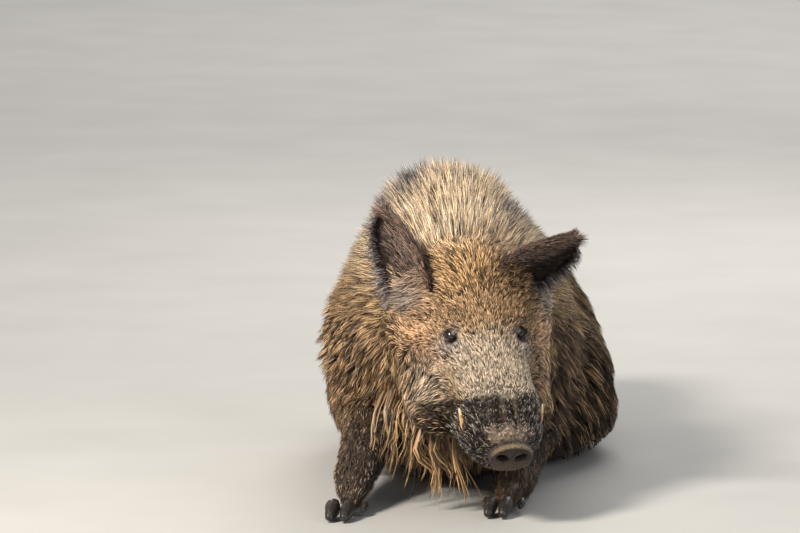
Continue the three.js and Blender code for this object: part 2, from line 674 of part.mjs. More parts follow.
// ---------------------------------------------------------------- assembly
const headSurface = surface(torso, headSpan(MUZZLE_BACK - 40, HEAD_BACK + 60), CELL.head);
const muzzleSurface = surface(torso, headSpan(-20, MUZZLE_BACK + 60), CELL.muzzle);
const neckSurface = surface(torso, boxOf([-240, -480, -30], [300, 40, 680]), CELL.neck);
const headAndNeckRoom = [headSurface, muzzleSurface, neckSurface]
  .map((drawn) => solid(swollen(drawn, GAP)))
  .reduce((sum, room) => sum.add(room));
buildHead();
buildDisc();
buildEars(headAndNeckRoom);
for (const s of [1, -1]) {
  const side = s > 0 ? "left" : "right";
  add("eye_" + side, solid(eyeBall(s)), eyeDark);
  add("tusk_" + side, solid(tuskShape(s)), ivory);
}
buildBody();

export default boar;
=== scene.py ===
# A wild boar lying on its belly with the head lowered: one skin, a coat of bristles in tufts,
# wet locks hanging from the jowl, and separate eyes, tusks, snout disc and hooves.
# Metres, +Z up. The head points to -Y and the boar's left side is +X.
import math
from collections import namedtuple

import bpy
import numpy as np
import openvdb as vdb
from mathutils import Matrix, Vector, kdtree


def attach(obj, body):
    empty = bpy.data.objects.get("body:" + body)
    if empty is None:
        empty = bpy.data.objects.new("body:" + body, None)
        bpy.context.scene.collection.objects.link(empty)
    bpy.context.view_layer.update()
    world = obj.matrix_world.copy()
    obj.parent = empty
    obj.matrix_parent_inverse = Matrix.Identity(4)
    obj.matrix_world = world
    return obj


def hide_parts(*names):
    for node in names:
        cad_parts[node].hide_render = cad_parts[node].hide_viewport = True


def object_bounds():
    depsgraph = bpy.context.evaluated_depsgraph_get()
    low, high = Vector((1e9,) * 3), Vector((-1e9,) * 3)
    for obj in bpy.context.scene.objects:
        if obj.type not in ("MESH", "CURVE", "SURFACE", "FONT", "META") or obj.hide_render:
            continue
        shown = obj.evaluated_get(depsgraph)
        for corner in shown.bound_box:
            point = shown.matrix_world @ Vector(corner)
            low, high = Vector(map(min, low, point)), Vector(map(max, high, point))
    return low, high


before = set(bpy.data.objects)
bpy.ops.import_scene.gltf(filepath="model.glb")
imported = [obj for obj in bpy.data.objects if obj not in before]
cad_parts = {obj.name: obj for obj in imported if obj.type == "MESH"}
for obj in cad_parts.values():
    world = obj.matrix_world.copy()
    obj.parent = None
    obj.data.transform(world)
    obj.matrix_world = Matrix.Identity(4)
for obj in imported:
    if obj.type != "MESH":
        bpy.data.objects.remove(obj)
cad_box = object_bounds()
rng = np.random.default_rng(517)

MM = 0.001
LEFT_AND_RIGHT = (1, -1)


# ---------------------------------------------------------------- small helpers
def unit(v):
    """The vectors, each made one long."""
    return v / np.maximum(np.linalg.norm(v, axis=-1, keepdims=True), 1e-9)


def soft(x, a, b):
    """0 below a, 1 above b, and a smooth step between them. a may be the larger."""
    t = np.clip((x - a) / (b - a), 0, 1)
    return t * t * (3 - 2 * t)


def dome(p, centre, radii):
    """1 at the centre, fading to 0 a little past the radii."""
    d = ((p - np.array(centre)) / np.array(radii)) ** 2
    return np.exp(-d.sum(axis=-1))


def bell(x, width):
    """1 where x is 0, fading to 0 a little past the width."""
    return np.exp(-((x / width) ** 2))


def most(*shares):
    """The largest of several shares, point by point."""
    return np.maximum.reduce(np.broadcast_arrays(*shares))


def mixed(a, b, w):
    """a where w is 0 and b where it is 1. a and b may be numbers or rows of vectors."""
    w = np.asarray(w)
    return a * (1 - w[..., None]) + b * w[..., None] if np.ndim(a) > np.ndim(w) else a * (1 - w) + b * w


def col(v):
    """A column, to scale rows of vectors by one number each."""
    return np.asarray(v)[:, None]


# ---------------------------------------------------------------- the head's own frame
# side: to the boar's left, back: from the disc towards the neck, up: out of the forehead.
SNOUT_AT = np.array((0.185, -0.580, 0.135))
YAW, PITCH = math.radians(24), math.radians(40)
HEAD_SIDE = np.array((math.cos(YAW), math.sin(YAW), 0))
HEAD_BACK = np.array((-math.sin(YAW) * math.cos(PITCH), math.cos(YAW) * math.cos(PITCH), math.sin(PITCH)))
HEAD_UP = np.cross(HEAD_SIDE, HEAD_BACK)
HEAD_AXES = np.stack((HEAD_SIDE, HEAD_BACK, HEAD_UP))
DOWN = np.array((0.0, 0.0, -1.0))
EYE = {"side": 70, "back": 274, "up": 57}  # where the left eye is, in millimetres


def on_head(side, back, up):
    """A place on the head, given in millimetres, in the part's frame."""
    return SNOUT_AT + MM * (side * HEAD_SIDE + back * HEAD_BACK + up * HEAD_UP)


def head_place(p):
    """Points of the part's frame as side, back and up on the head, in millimetres."""
    return (p - SNOUT_AT) @ HEAD_AXES.T / MM


# ---------------------------------------------------------------- the body as distances on a grid
VOXEL = 0.004
MARGIN = 9  # cells of room round the body
LOW = np.floor(np.array(cad_box[0]) / VOXEL).astype(int) - MARGIN
HIGH = np.ceil(np.array(cad_box[1]) / VOXEL).astype(int) + MARGIN
GRID = tuple(HIGH - LOW)
CELLS = vdb.createLinearTransform(VOXEL)
SEAL = 0.0025  # closes the thin cuts between the solids
SMOOTHING = 1.9  # blur of the outline, in cells
REGAINED = 0.002  # what the blur takes off the outline, in metres
DEEP = 26  # how far inside the body distances are worked out, in cells
MASK_BLUR = 5  # how softly the head, the legs and the tail run into the body, in cells

SIDES = ("left", "right")
LOWER_LEGS = [f"{leg}_{side}" for leg in ("foreleg", "hindleg") for side in SIDES]
UPPER_LEGS = [f"{leg}_{side}" for leg in ("shoulder", "thigh") for side in SIDES]
HEAD_NODES = ["head", "muzzle", "lower_jaw"]
FLESH = HEAD_NODES + ["neck", "trunk", "tail"] + UPPER_LEGS + LOWER_LEGS
EARS = [f"ear_{side}" for side in SIDES]


def node_mesh(name):
    """Points and triangles of a solid of the part."""
    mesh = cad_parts[name].data
    mesh.calc_loop_triangles()
    points = np.empty(3 * len(mesh.vertices), np.float32)
    mesh.vertices.foreach_get("co", points)
    triangles = np.empty(3 * len(mesh.loop_triangles), np.int32)
    mesh.loop_triangles.foreach_get("vertices", triangles)
    return points.reshape(-1, 3), triangles.reshape(-1, 3).astype(np.uint32)


def distances(points, triangles=None, quads=None, *, outside, inside):
    """Signed distances from a closed surface to each cell of the grid, within the bands given in cells."""
    made = vdb.FloatGrid.createLevelSetFromPolygons(
        points, triangles=triangles, quads=quads, transform=CELLS, exBandWidth=outside, inBandWidth=inside
    )
    cells = np.empty(GRID, np.float32)
    made.copyToArray(cells, ijk=tuple(int(i) for i in LOW))
    return cells


def surface_of(cells, level):
    """Points and quads of the surface where the cells have the level given."""
    grid = vdb.FloatGrid(float(MARGIN * VOXEL))
    grid.transform = CELLS
    grid.copyFromArray(cells, ijk=tuple(int(i) for i in LOW))
    return grid.convertToQuads(isovalue=level)


def blurred(cells, sigma):
    """A Gaussian blur, sigma in cells."""
    reach = int(math.ceil(2.6 * sigma))
    weights = np.exp(-0.5 * (np.arange(-reach, reach + 1) / sigma) ** 2)
    weights /= weights.sum()
    for axis in range(3):
        spread = np.zeros_like(cells)
        for shift, weight in zip(range(-reach, reach + 1), weights):
            spread += np.float32(weight) * np.roll(cells, shift, axis)
        cells = spread
    return cells


def read(cells, p):
    """Values at points, by linear interpolation."""
    q = np.clip(p / VOXEL - LOW, 0, np.array(GRID) - 1.001)
    i = q.astype(int)
    f = q - i
    x, y, z = i.T
    total = 0
    for dx in (0, 1):
        for dy in (0, 1):
            for dz in (0, 1):
                w = np.prod(np.where((dx, dy, dz), f, 1 - f), axis=1)
                total = total + w * cells[x + dx, y + dy, z + dz]
    return total


def slope(cells, p):
    """The unit direction in which the values rise fastest, measured over 1.5 cells each way."""
    steps = 1.5 * VOXEL * np.eye(3)
    rise = [read(cells, p + step) - read(cells, p - step) for step in steps]
    return unit(np.stack(rise, axis=1))


def measure_body():
    """The outline's distances, and soft masks of the head, the lower legs and the tail."""
    nearest = np.full(GRID, MARGIN * VOXEL, np.float32)
    owner = np.zeros(GRID, np.uint8)
    for number, name in enumerate(FLESH, 1):
        cells = distances(*node_mesh(name), outside=4, inside=10)
        closer = cells < nearest
        nearest[closer] = cells[closer]
        owner[closer] = number
    points, quads = surface_of(nearest, SEAL)
    outline = distances(points, quads=quads, outside=MARGIN, inside=DEEP) + np.float32(SEAL)

    def share(names):
        """How much of the body round each cell belongs to the solids named."""
        numbers = [FLESH.index(n) + 1 for n in names]
        return blurred(np.isin(owner, numbers).astype(np.float32), MASK_BLUR)

    owned = share(FLESH) + np.float32(1e-4)
    masks = {
        "head": share(HEAD_NODES) / owned,
        "leg": share(LOWER_LEGS) / owned,
        "tail": share(["tail"]) / owned,
    }
    return blurred(outline, SMOOTHING) - np.float32(REGAINED), masks


OUTLINE, MASKS = measure_body()


# ---------------------------------------------------------------- how deep the coat is
# The crest of the mane, from the poll over the withers and down the back.
RIDGE = np.array(((0.052, -0.300, 0.505), (0.022, -0.170, 0.590), (-0.014, 0.005, 0.632),
                  (-0.008, 0.190, 0.592), (0.0, 0.400, 0.500)))
MANE_REACH = 0.135


def from_ridge(p):
    """Distance to the crest of the mane."""
    best = np.full(len(p), np.inf)
    for a, b in zip(RIDGE, RIDGE[1:]):
        along = b - a
        h = np.clip((p - a) @ along / (along @ along), 0, 1)
        best = np.minimum(best, np.linalg.norm(p - a - col(h) * along, axis=1))
    return best


def mane_share(p):
    """1 on the standing mane and on the front of the crest."""
    return bell(from_ridge(p), MANE_REACH) * soft(p[:, 1], 0.50, 0.12)


def shares_here(p):
    """Soft shares of the head, the lower legs and the tail at points."""
    return [read(MASKS[k], p) for k in ("head", "leg", "tail")]


def coat_depth(p):
    """How far the skin lies below the tips of the coat, in metres."""
    head, leg, tail = shares_here(p)
    s, b, u = head_place(p).T
    y, z = p[:, 1], p[:, 2]
    body = 0.016 + 0.006 * soft(y, 0.30, -0.05) + 0.036 * mane_share(p)
    body = body * mixed(1.0, 0.5, soft(z, 0.12, 0.03))
    face = 0.0045 + 0.010 * soft(b, 290, 420) * soft(u, 0, 60) + 0.008 * soft(u, 0, -70) * soft(b, 60, 220)
    face += 0.005 * soft(np.abs(s), 70, 125) * soft(b, 170, 300)
    foot = mixed(0.0035, 0.007, soft(z, 0.05, 0.10))
    depth = mixed(body, face, soft(head, 0.1, 0.95))
    depth = mixed(depth, foot, soft(leg, 0.2, 0.7))
    return mixed(depth, 0.008, soft(tail, 0.2, 0.7))


COARSE = 4  # cells to a step of the grid on which the coat's depth is worked out


def on_cells(ranges, amount):
    """Amounts at the cells that the three ranges of numbers name."""
    places = np.stack(np.meshgrid(*ranges, indexing="ij"), axis=-1)
    return amount((places.reshape(-1, 3) + LOW) * VOXEL).reshape(places.shape[:3])


def depth_cells():
    """The coat's depth on the coarse grid, spread to all cells."""
    values = on_cells([np.arange(0, n + COARSE, COARSE) for n in GRID], coat_depth).astype(np.float32)
    for axis, n in enumerate(GRID):
        at = np.arange(n) / COARSE
        i = at.astype(int)
        f = (at - i).astype(np.float32)
        shape = [1, 1, 1]
        shape[axis] = n
        low = np.take(values, i, axis)
        high = np.take(values, np.minimum(i + 1, values.shape[axis] - 1), axis)
        values = low + f.reshape(shape) * (high - low)
    return values


DEPTH = depth_cells()


# ---------------------------------------------------------------- folds of the skin
def eye_place(s):
    """Where an eye is, s being 1 for the left one and -1 for the right one."""
    return on_head(s * EYE["side"], EYE["back"], EYE["up"])


def eye_axis(s):
    """The way an eye looks."""
    return unit(s * 0.55 * HEAD_SIDE - 0.58 * HEAD_BACK + 0.62 * HEAD_UP)


def eye_middle(s):
    """The middle of the eyeball, sunk between its lids."""
    return eye_place(s) - 0.003 * eye_axis(s)


# How far the skin is drawn in (above 0) or raised (below 0) in millimetres, with the middle and the reach of
# each fold on the head. Those round the eyes are given from the left eye, the others from the snout.
EYE_FOLDS = {
    "socket": (8, (4, -10, 8), (22, 24, 24)),
    "brow": (-9, (-6, 26, 22), (34, 18, 16)),
    "pouch": (-5, (2, -38, -8), (22, 14, 20)),
    "temple": (8, (18, 62, -40), (34, 44, 34)),
}
LEFT_FOLDS = {
    "cheek": (-7, (112, 268, -12), (36, 46, 34)),
    "corner_of_mouth": (3, (100, 186, -10), (30, 30, 40)),
    "lip_behind_tusk": (-15, (92, 150, -26), (26, 32, 32)),
    "root_of_tusk": (-6, (60, 116, 34), (20, 26, 16)),
}
MIDDLE_FOLDS = {
    "dip_of_bridge": (4, (0, 190, 70), (14, 60, 30)),
    "step_to_snout": (-4, (0, 128, 52), (54, 12, 20)),
}


def drawn_by(folds_here, q, side=1):
    """What named folds draw in at places q, mirrored to the right for a side of -1."""
    return sum(MM * depth * dome(q, np.array(middle) * (side, 1, 1), reach)
               for depth, middle, reach in folds_here.values())


def from_crease(s, b, side):
    """How far places lie to one side of a crease up the top of the snout, in millimetres."""
    return s - side * (14 - 0.06 * (b - 70))


def folds(p):
    """How much the skin of the head is drawn in (above 0) or raised (below 0), in metres."""
    q = head_place(p)
    s, b, u = q.T
    drawn = drawn_by(MIDDLE_FOLDS, q)
    for side in LEFT_AND_RIGHT:
        drawn += drawn_by(EYE_FOLDS, q - head_place(eye_place(side)), side) + drawn_by(LEFT_FOLDS, q, side)
        crease = bell(from_crease(s, b, side), 5.5) * soft(b, 36, 56) * soft(b, 122, 98)
        drawn += 0.013 * crease * soft(u, 10, 30)
        mouth = bell(u + 42 + 0.10 * (b - 90), 6.5) * soft(side * s, 8, 22)
        drawn += 0.008 * mouth * soft(b, 26, 44) * soft(b, 246, 190)
    wrinkle = np.sin(b / 4.6 + 1.4 * np.sin(s / 17)) * soft(b, 18, 34) * soft(b, 74, 50)
    drawn += 0.0012 * wrinkle * soft(u, -20, 10)
    return drawn * soft(b, 520, 460)


def grooves(s, b, u):
    """1 along the two creases up the top of the snout."""
    across = np.minimum(*(np.abs(from_crease(s, b, side)) for side in LEFT_AND_RIGHT))
    return bell(across, 7.5) * soft(b, 44, 60) * soft(b, 124, 104) * soft(u, 10, 30)


def spread_flank(p):
    """The low left flank, spread sideways by its own weight, in the same sense as the folds."""
    return -0.024 * dome(p, (0.25, 0.28, 0.070), (0.10, 0.24, 0.050))


HEAD_CORNERS = np.array([on_head(s, b, u) for s in (-190, 190) for b in (-20, 520) for u in (-220, 190)])
FLANK_CORNERS = np.array(((0.08, -0.15, 0.0), (0.33, 0.70, 0.18)))


def cells_near(corners, amount):
    """Amounts on the cells between the corners, and 0 on all others."""
    cells = np.zeros(GRID, np.float32)
    low = np.clip(np.floor(corners.min(0) / VOXEL).astype(int) - LOW, 0, None)
    high = np.minimum(np.ceil(corners.max(0) / VOXEL).astype(int) - LOW, GRID)
    values = on_cells([np.arange(a, b) for a, b in zip(low, high)], amount)
    cells[low[0] : high[0], low[1] : high[1], low[2] : high[2]] = values
    return cells


FLESH_CELLS = OUTLINE + DEPTH + cells_near(HEAD_CORNERS, folds) + cells_near(FLANK_CORNERS, spread_flank)


# ---------------------------------------------------------------- markings of the skin and the coat
WHORL = (-152, 327, -98)  # a small dark whorl on the right jowl
RUFFS = {-1: (-112, 392, 58), 1: (140, 384, 40)}  # long pale hair below the base of each ear


def ragged(p, size):
    """A value between -1 and 1 that wanders over the body, size being about one swing of it."""
    a, b, c = (p / size).T
    waves = (np.sin(a + 1.7 * np.sin(0.9 * b)), np.sin(1.3 * b + 1.1 * np.sin(1.2 * c)),
             np.sin(1.6 * c + np.sin(a)))
    return sum(waves) / 3


# The fifth mark darkens skin and hair: dark hair, and also painted shade on the left flank, behind the
# hanging locks, under the mane and in the ears' hollows.
MARKS = ("Cream", "Rust", "Gold", "Grey", "Dark_and_shade", "Mud")
CREAM, RUST, _, GREY, DARK_AND_SHADE, MUD = range(len(MARKS))
# Dark tufts in the pale crest and, second in the list, a painted shadow under the mane on its left side: the
# middle and the reach of each.
WISPS_AND_SHADOW = (((-0.066, -0.04, 0.576), (0.024, 0.09, 0.050)), ((0.118, -0.05, 0.525), (0.036, 0.09, 0.040)),
         ((0.03, -0.04, 0.605), (0.018, 0.06, 0.03)), ((-0.110, -0.07, 0.53), (0.03, 0.08, 0.035)))


def markings(p):
    """Shares of each of the marks at points."""
    head_soft, leg_soft, _ = shares_here(p)
    head, leg = soft(head_soft, 0.35, 0.8), soft(leg_soft, 0.25, 0.7)
    body = 1 - head
    q = head_place(p)
    s, b, u = q.T
    x, y, z = p.T
    wander, flecks = ragged(p, 0.021), ragged(p, 0.0065)
    # the wet front of the snout ends in a ragged line across the bridge, and mud dries above the disc
    line = 0.74 * b + 0.67 * u + 2.5 * np.sin(s / 13.0) + 4.5 * flecks
    cap = head * soft(b + 3 * flecks, 62, 46) * soft(u, 10, 26) * soft(np.abs(s), 50, 38)
    # the low throat behind the hanging locks is painted nearly black: painted shade behind the locks
    throat = dome(p, (-0.02, -0.36, 0.09), (0.13, 0.13, 0.13)) * soft(z, 0.20, 0.14)
    wisps_and_shadow = most(*(dome(p, middle, reach) for middle, reach in WISPS_AND_SHADOW))
    muddy = soft(x, -0.155, -0.20) * soft(y, 0.0, -0.1)
    right = soft(x, -0.06, -0.16)
    mane = soft(mane_share(p), 0.2, 0.75) * soft(head_soft, 0.95, 0.5)
    crown = soft(b + 0.10 * np.abs(s) + 6 * wander, 322, 366) * soft(b, 500, 392)
    crown = crown * soft(np.abs(s - 8), 118, 60)
    dark_and_shade = most(
        head * soft(line, 121, 114) * soft(b, 215, 150),
        0.55 * head * soft(u + 0.06 * b + 7 * wander, -50, -90) * soft(b, 330, 190),
        0.85 * head * dome(q, WHORL, (17, 19, 17)),
        (0.6 + 0.3 * wander) * head * dome(q, (-112, 182, -92), (40, 46, 28)),
        0.78 * leg * (1 - 0.75 * muddy),
        # painted shade: the left flank is darker, most of all low down
        (0.72 + 0.2 * wander) * body * soft(x, 0.05, 0.2) * soft(z, 0.49, 0.20),
        (0.10 + 0.25 * wander) * body * soft(z, 0.24, 0.06) * soft(x, -0.17, -0.06),
        (0.30 + 0.25 * wander) * body * soft(y, 0.0, 0.25),
        0.55 * soft(flecks, 0.15, 0.6) * body * right * soft(z, 0.5, 0.36),
        0.95 * throat,
        0.92 * wisps_and_shadow,
    ) * (1 - 0.9 * cap)
    cream = most(
        head * soft(line, 112, 122) * soft(b, 286, 222) * soft(np.abs(s - 4), 96, 60) * soft(u, 6, 34),
        head * dome(q, (-112, 222, -14), (56, 62, 48)),
        0.7 * head * dome(q, (114, 246, -12), (36, 46, 36)),
        (0.42 + 0.4 * wander) * mane * soft(y, 0.2, -0.05) * soft(x, -0.14, -0.03),
        0.35 * soft(b, 395, 455) * soft(y, 0.1, -0.05) * soft(z, 0.38, 0.46),
    ) * (1 - 0.8 * wisps_and_shadow)
    rust = most(
        head * dome(q, (-124, 300, 26), (40, 50, 38)),
        0.6 * head * dome(q, (-92, 246, 16), (30, 22, 24)),
        0.5 * head * dome(q, (-116, 240, -18), (40, 46, 34)),
        0.8 * head * dome(q, (116, 280, 14), (36, 60, 44)),
        (0.22 + 0.2 * flecks) * head * soft(b, 250, 290) * soft(u, 20, 60),
    )
    gold = most(0.85 * crown * soft(u, 50, 85) * soft(y, -0.12, -0.28),
                0.35 * body * soft(z, 0.52, 0.38) * soft(x, 0.02, -0.1))
    ruffs = [dome(q, place, (34, 40, 36)) for place in RUFFS.values()]
    pouches = [dome(q, (side * (EYE["side"] + 3), EYE["back"] - 22, EYE["up"] - 10), (22, 24, 24))
               for side in LEFT_AND_RIGHT]
    grey = most(0.9 * most(*ruffs), 0.9 * head * most(*pouches), 0.8 * leg * soft(x, 0.0, -0.05),
                0.7 * wisps_and_shadow, 0.4 * cap)
    mud = most(0.95 * body * right * soft(z, 0.50, 0.34) * soft(y, 0.3, 0.0) * (1 - throat),
               0.8 * leg * muddy, 0.35 * cap)
    return np.clip(np.stack((most(cream, 0.5 * cap), rust, gold, grey, dark_and_shade, mud), axis=1), 0, 1)


# ---------------------------------------------------------------- meshes
def strands(first, second=0.0, third=0.0):
    """Three numbers for each point, which the materials read as the attribute strand."""
    return np.stack(np.broadcast_arrays(first, second, third), axis=1)


def coloured(strand, marks):
    """The attributes that skin and hair need for their colour."""
    return {"strand": strand, "marks_a": marks[:, :3], "marks_b": marks[:, 3:]}


def mesh_piece(name, points, faces, attributes, material, uv=None):
    """An object from arrays. faces holds a row of corners for each face, and uv a place for each point."""
    mesh = bpy.data.meshes.new(name)
    mesh.vertices.add(len(points))
    mesh.vertices.foreach_set("co", np.asarray(points, np.float32).ravel())
    mesh.loops.add(faces.size)
    mesh.loops.foreach_set("vertex_index", faces.astype(np.int32).ravel())
    mesh.polygons.add(len(faces))
    mesh.polygons.foreach_set("loop_start", np.arange(0, faces.size, faces.shape[1], dtype=np.int32))
    mesh.polygons.foreach_set("use_smooth", np.full(len(faces), True))
    for key, values in attributes.items():
        layer = mesh.attributes.new(key, "FLOAT_VECTOR", "POINT")
        layer.data.foreach_set("vector", np.asarray(values, np.float32).ravel())
    if uv is not None:
        layer = mesh.uv_layers.new(name="OFBake")
        layer.data.foreach_set("uv", np.asarray(uv, np.float32)[faces.ravel()].ravel())
    mesh.update(calc_edges=True)
    mesh.validate()
    mesh.materials.append(material)
    made = bpy.data.objects.new(name, mesh)
    bpy.context.scene.collection.objects.link(made)
    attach(made, "root")
    return made


def ring_quads(rows, spokes, first=0, closed=False):
    """Quads between rows of points that each run round a ring. closed joins the last row to the first."""
    quads = []
    for i in range(first, rows if closed else rows - 1):
        k = (i + 1) % rows
        for j in range(spokes):
            n = (j + 1) % spokes
            quads.append((i * spokes + j, i * spokes + n, k * spokes + n, k * spokes + j))
    return quads


def cap_quads(row, spokes):
    """Quads that close a row by folding it over."""
    base = row * spokes
    return [(base + j, base + j + 1, base + spokes - 2 - j, base + spokes - 1 - j)
            for j in range(spokes // 2 - 1)]


def facing_out(points, faces):
    """The faces, turned so that the surface holds a positive volume."""
    a, b, c = points[faces[:, 0]], points[faces[:, 1]], points[faces[:, 2]]
    volume = np.einsum("ij,ij->", a, np.cross(b, c))
    if faces.shape[1] == 4:
        d = points[faces[:, 3]]
        volume += np.einsum("ij,ij->", a, np.cross(c, d))
    return faces if volume > 0 else faces[:, ::-1]


# ---------------------------------------------------------------- materials
def rgb(code):
    """A colour written as 0xRRGGBB, as a linear colour with alpha."""
    parts = [((code >> shift) & 255) / 255 for shift in (16, 8, 0)]
    return tuple(c / 12.92 if c <= 0.04045 else ((c + 0.055) / 1.055) ** 2.4 for c in parts) + (1.0,)


class Wiring:
    """Adds shader nodes to a tree: each value given is a number, a colour or another node's output."""

    def __init__(self, tree):
        self.tree = tree

    def set(self, socket, value):
        """Gives one input its value."""
        if isinstance(value, bpy.types.NodeSocket):
            self.tree.links.new(value, socket)
        else:
            socket.default_value = value

    def feed(self, node, **values):
        """Gives inputs their values. In a name _ stands for a space, and i6 is input number 6."""
        for key, value in values.items():
            numbered = key[0] == "i" and key[1:].isdigit()
            self.set(node.inputs[int(key[1:]) if numbered else key.replace("_", " ")], value)
        return node

    def add(self, kind, settings=None, **values):
        """A new node with its settings and the values of its inputs."""
        node = self.tree.nodes.new(kind)
        for key, value in (settings or {}).items():
            setattr(node, key, value)
        return self.feed(node, **values)

    def math(self, operation, a, b):
        """A sum of two values, such as MULTIPLY."""
        return self.add("ShaderNodeMath", {"operation": operation}, i0=a, i1=b).outputs[0]

    def mix(self, share, a, b, how="MIX"):
        """Colour a where the share is 0 and b where it is 1."""
        node = self.add("ShaderNodeMix", {"data_type": "RGBA", "blend_type": how}, i0=share, i6=a, i7=b)
        return node.outputs[2]

    def ramp(self, value, *stops):
        """A colour or a brightness read off at a value, between stops of (value, colour)."""
        node = self.add("ShaderNodeValToRGB", i0=value)
        stock = node.color_ramp.elements
        while len(stock) < len(stops):
            stock.new(0.5)
        for element, (at, colour) in zip(stock, stops):
            element.position = at
            element.color = colour if isinstance(colour, tuple) else (colour, colour, colour, 1)
        return node.outputs[0]

    def place(self):
        """Places in metres, to lay a pattern on."""
        return self.add("ShaderNodeTexCoord").outputs["Object"]

    def noise(self, scale, detail, place, rough=0.5):
        """Cloudy values round a half."""
        node = self.add("ShaderNodeTexNoise", Scale=scale, Detail=detail, Roughness=rough, Vector=place)
        return node.outputs["Fac"]

    def carried(self, name):
        """The three numbers of an attribute that the mesh carries."""
        vector = self.add("ShaderNodeAttribute", {"attribute_name": name}).outputs["Vector"]
        return self.add("ShaderNodeSeparateXYZ", i0=vector).outputs

    def bump(self, shader, strength, distance, height):
        """Roughens the surface of a shader."""
        node = self.add("ShaderNodeBump", Strength=strength, Distance=distance, Height=height)
        self.set(shader.inputs["Normal"], node.outputs["Normal"])


def group(name, inputs, outputs):
    """An empty group of shader nodes, with inputs of (name, kind, default) and outputs of (name, kind)."""
    made = bpy.data.node_groups.new(name, "ShaderNodeTree")
    for label, kind, default in inputs:
        made.interface.new_socket(name=label, in_out="INPUT", socket_type=kind).default_value = default
    for label, kind in outputs:
        made.interface.new_socket(name=label, in_out="OUTPUT", socket_type=kind)
    wiring = Wiring(made)
    return made, wiring, wiring.add("NodeGroupInput").outputs, wiring.add("NodeGroupOutput").inputs


FLOAT, COLOUR = "NodeSocketFloat", "NodeSocketColor"


def hair_tones():
    """The colour along a bristle, from its root to its tip, with the markings laid over it."""
    made, w, given, out = group(
        "boar_hair_tones",
        [("Along", FLOAT, 0.5), ("Chance", FLOAT, 0.5)] + [(mark, FLOAT, 0.0) for mark in MARKS]
        + [("Root", COLOUR, rgb(0x22140B)), ("Straw", COLOUR, rgb(0xC39B6E)), ("Tip", COLOUR, rgb(0xECCFA4)),
           ("Dark", COLOUR, rgb(0x2A1A10)), ("Dark share", FLOAT, 0.2),
           ("Pale share", FLOAT, 0.16), ("Black", COLOUR, rgb(0x382B25))],
        [("Color", COLOUR), ("Roughness", FLOAT)],
    )
    g = {s.name: s for s in given}
    # the dark root colour is partly the bristles' own dark base and partly painted shade deep in the coat
    root = w.ramp(g["Along"], (0.18, 0.0), (0.72, 1.0))
    tip = w.ramp(g["Along"], (0.55, 0.0), (0.95, 1.0))
    pale = w.mix(tip, g["Straw"], g["Tip"])
    cream = w.math("MULTIPLY", g["Cream"], 0.85)
    for share, tint in ((g["Rust"], 0xFFCA9C), (cream, 0xFBE6CC), (g["Gold"], 0xE8BC86),
                        (g["Grey"], 0xB4ABA9), (g["Mud"], 0xDDB486)):
        pale = w.mix(share, pale, rgb(tint))
    # the dark mark, which is also painted shade, leaves some bristles pale
    spread = w.math("FRACT", w.math("MULTIPLY", g["Chance"], 17.3), 0.0)
    kept = w.math("GREATER_THAN", spread, w.math("SUBTRACT", 1.0, g["Pale share"]))
    dark_and_shade = w.math("MULTIPLY", g["Dark_and_shade"], w.math("SUBTRACT", 1.0, w.math("MULTIPLY", kept, 0.72)))
    black = w.mix(w.math("MULTIPLY", g["Grey"], 0.8), g["Black"], rgb(0x46474C))
    body = w.mix(root, g["Root"], w.mix(dark_and_shade, pale, black))
    # some bristles are dark to the tip: more of them on the forehead, fewer on the pale bridge
    share = g["Dark share"]
    for mark, more in (("Gold", 0.32), ("Dark_and_shade", 0.22), ("Cream", -0.06), ("Rust", -0.12)):
        share = w.math("ADD", share, w.math("MULTIPLY", g[mark], more))
    dark = w.math("LESS_THAN", g["Chance"], share)
    body = w.mix(w.math("MULTIPLY", dark, 0.88), body, g["Dark"])
    light = w.ramp(spread, (0.0, 0.24), (0.5, 0.86), (1.0, 1.75))
    w.set(out["Color"], w.mix(1.0, body, light, "MULTIPLY"))
    wet = w.math("MAXIMUM", g["Dark_and_shade"], g["Mud"])
    w.set(out["Roughness"], w.math("SUBTRACT", 0.60, w.math("MULTIPLY", wet, 0.24)))
    return made


HAIR_TONES = hair_tones()


def new_material(name):
    """A material, what adds nodes to it, and its shader."""
    made = bpy.data.materials.new(name)
    made.use_nodes = True
    return made, Wiring(made.node_tree), made.node_tree.nodes["Principled BSDF"]


def toned(w, **values):
    """The group of hair tones, with the markings that the mesh carries."""
    tone = w.add("ShaderNodeGroup", {"node_tree": HAIR_TONES}, **values)
    for name, labels in (("marks_a", MARKS[:3]), ("marks_b", MARKS[3:])):
        for socket, label in zip(w.carried(name), labels):
            w.set(tone.inputs[label], socket)
    return tone.outputs["Color"], tone.outputs["Roughness"]


def bristle_material(name, gloss=0.35, **tones):
    """Hair, coloured by the attributes that each tuft carries."""
    made, w, shader = new_material(name)
    strand = w.carried("strand")
    colour, rough = toned(w, Along=strand[0], Chance=strand[1], **tones)
    w.feed(shader, Base_Color=colour, Roughness=rough, Specular_IOR_Level=gloss)
    return made


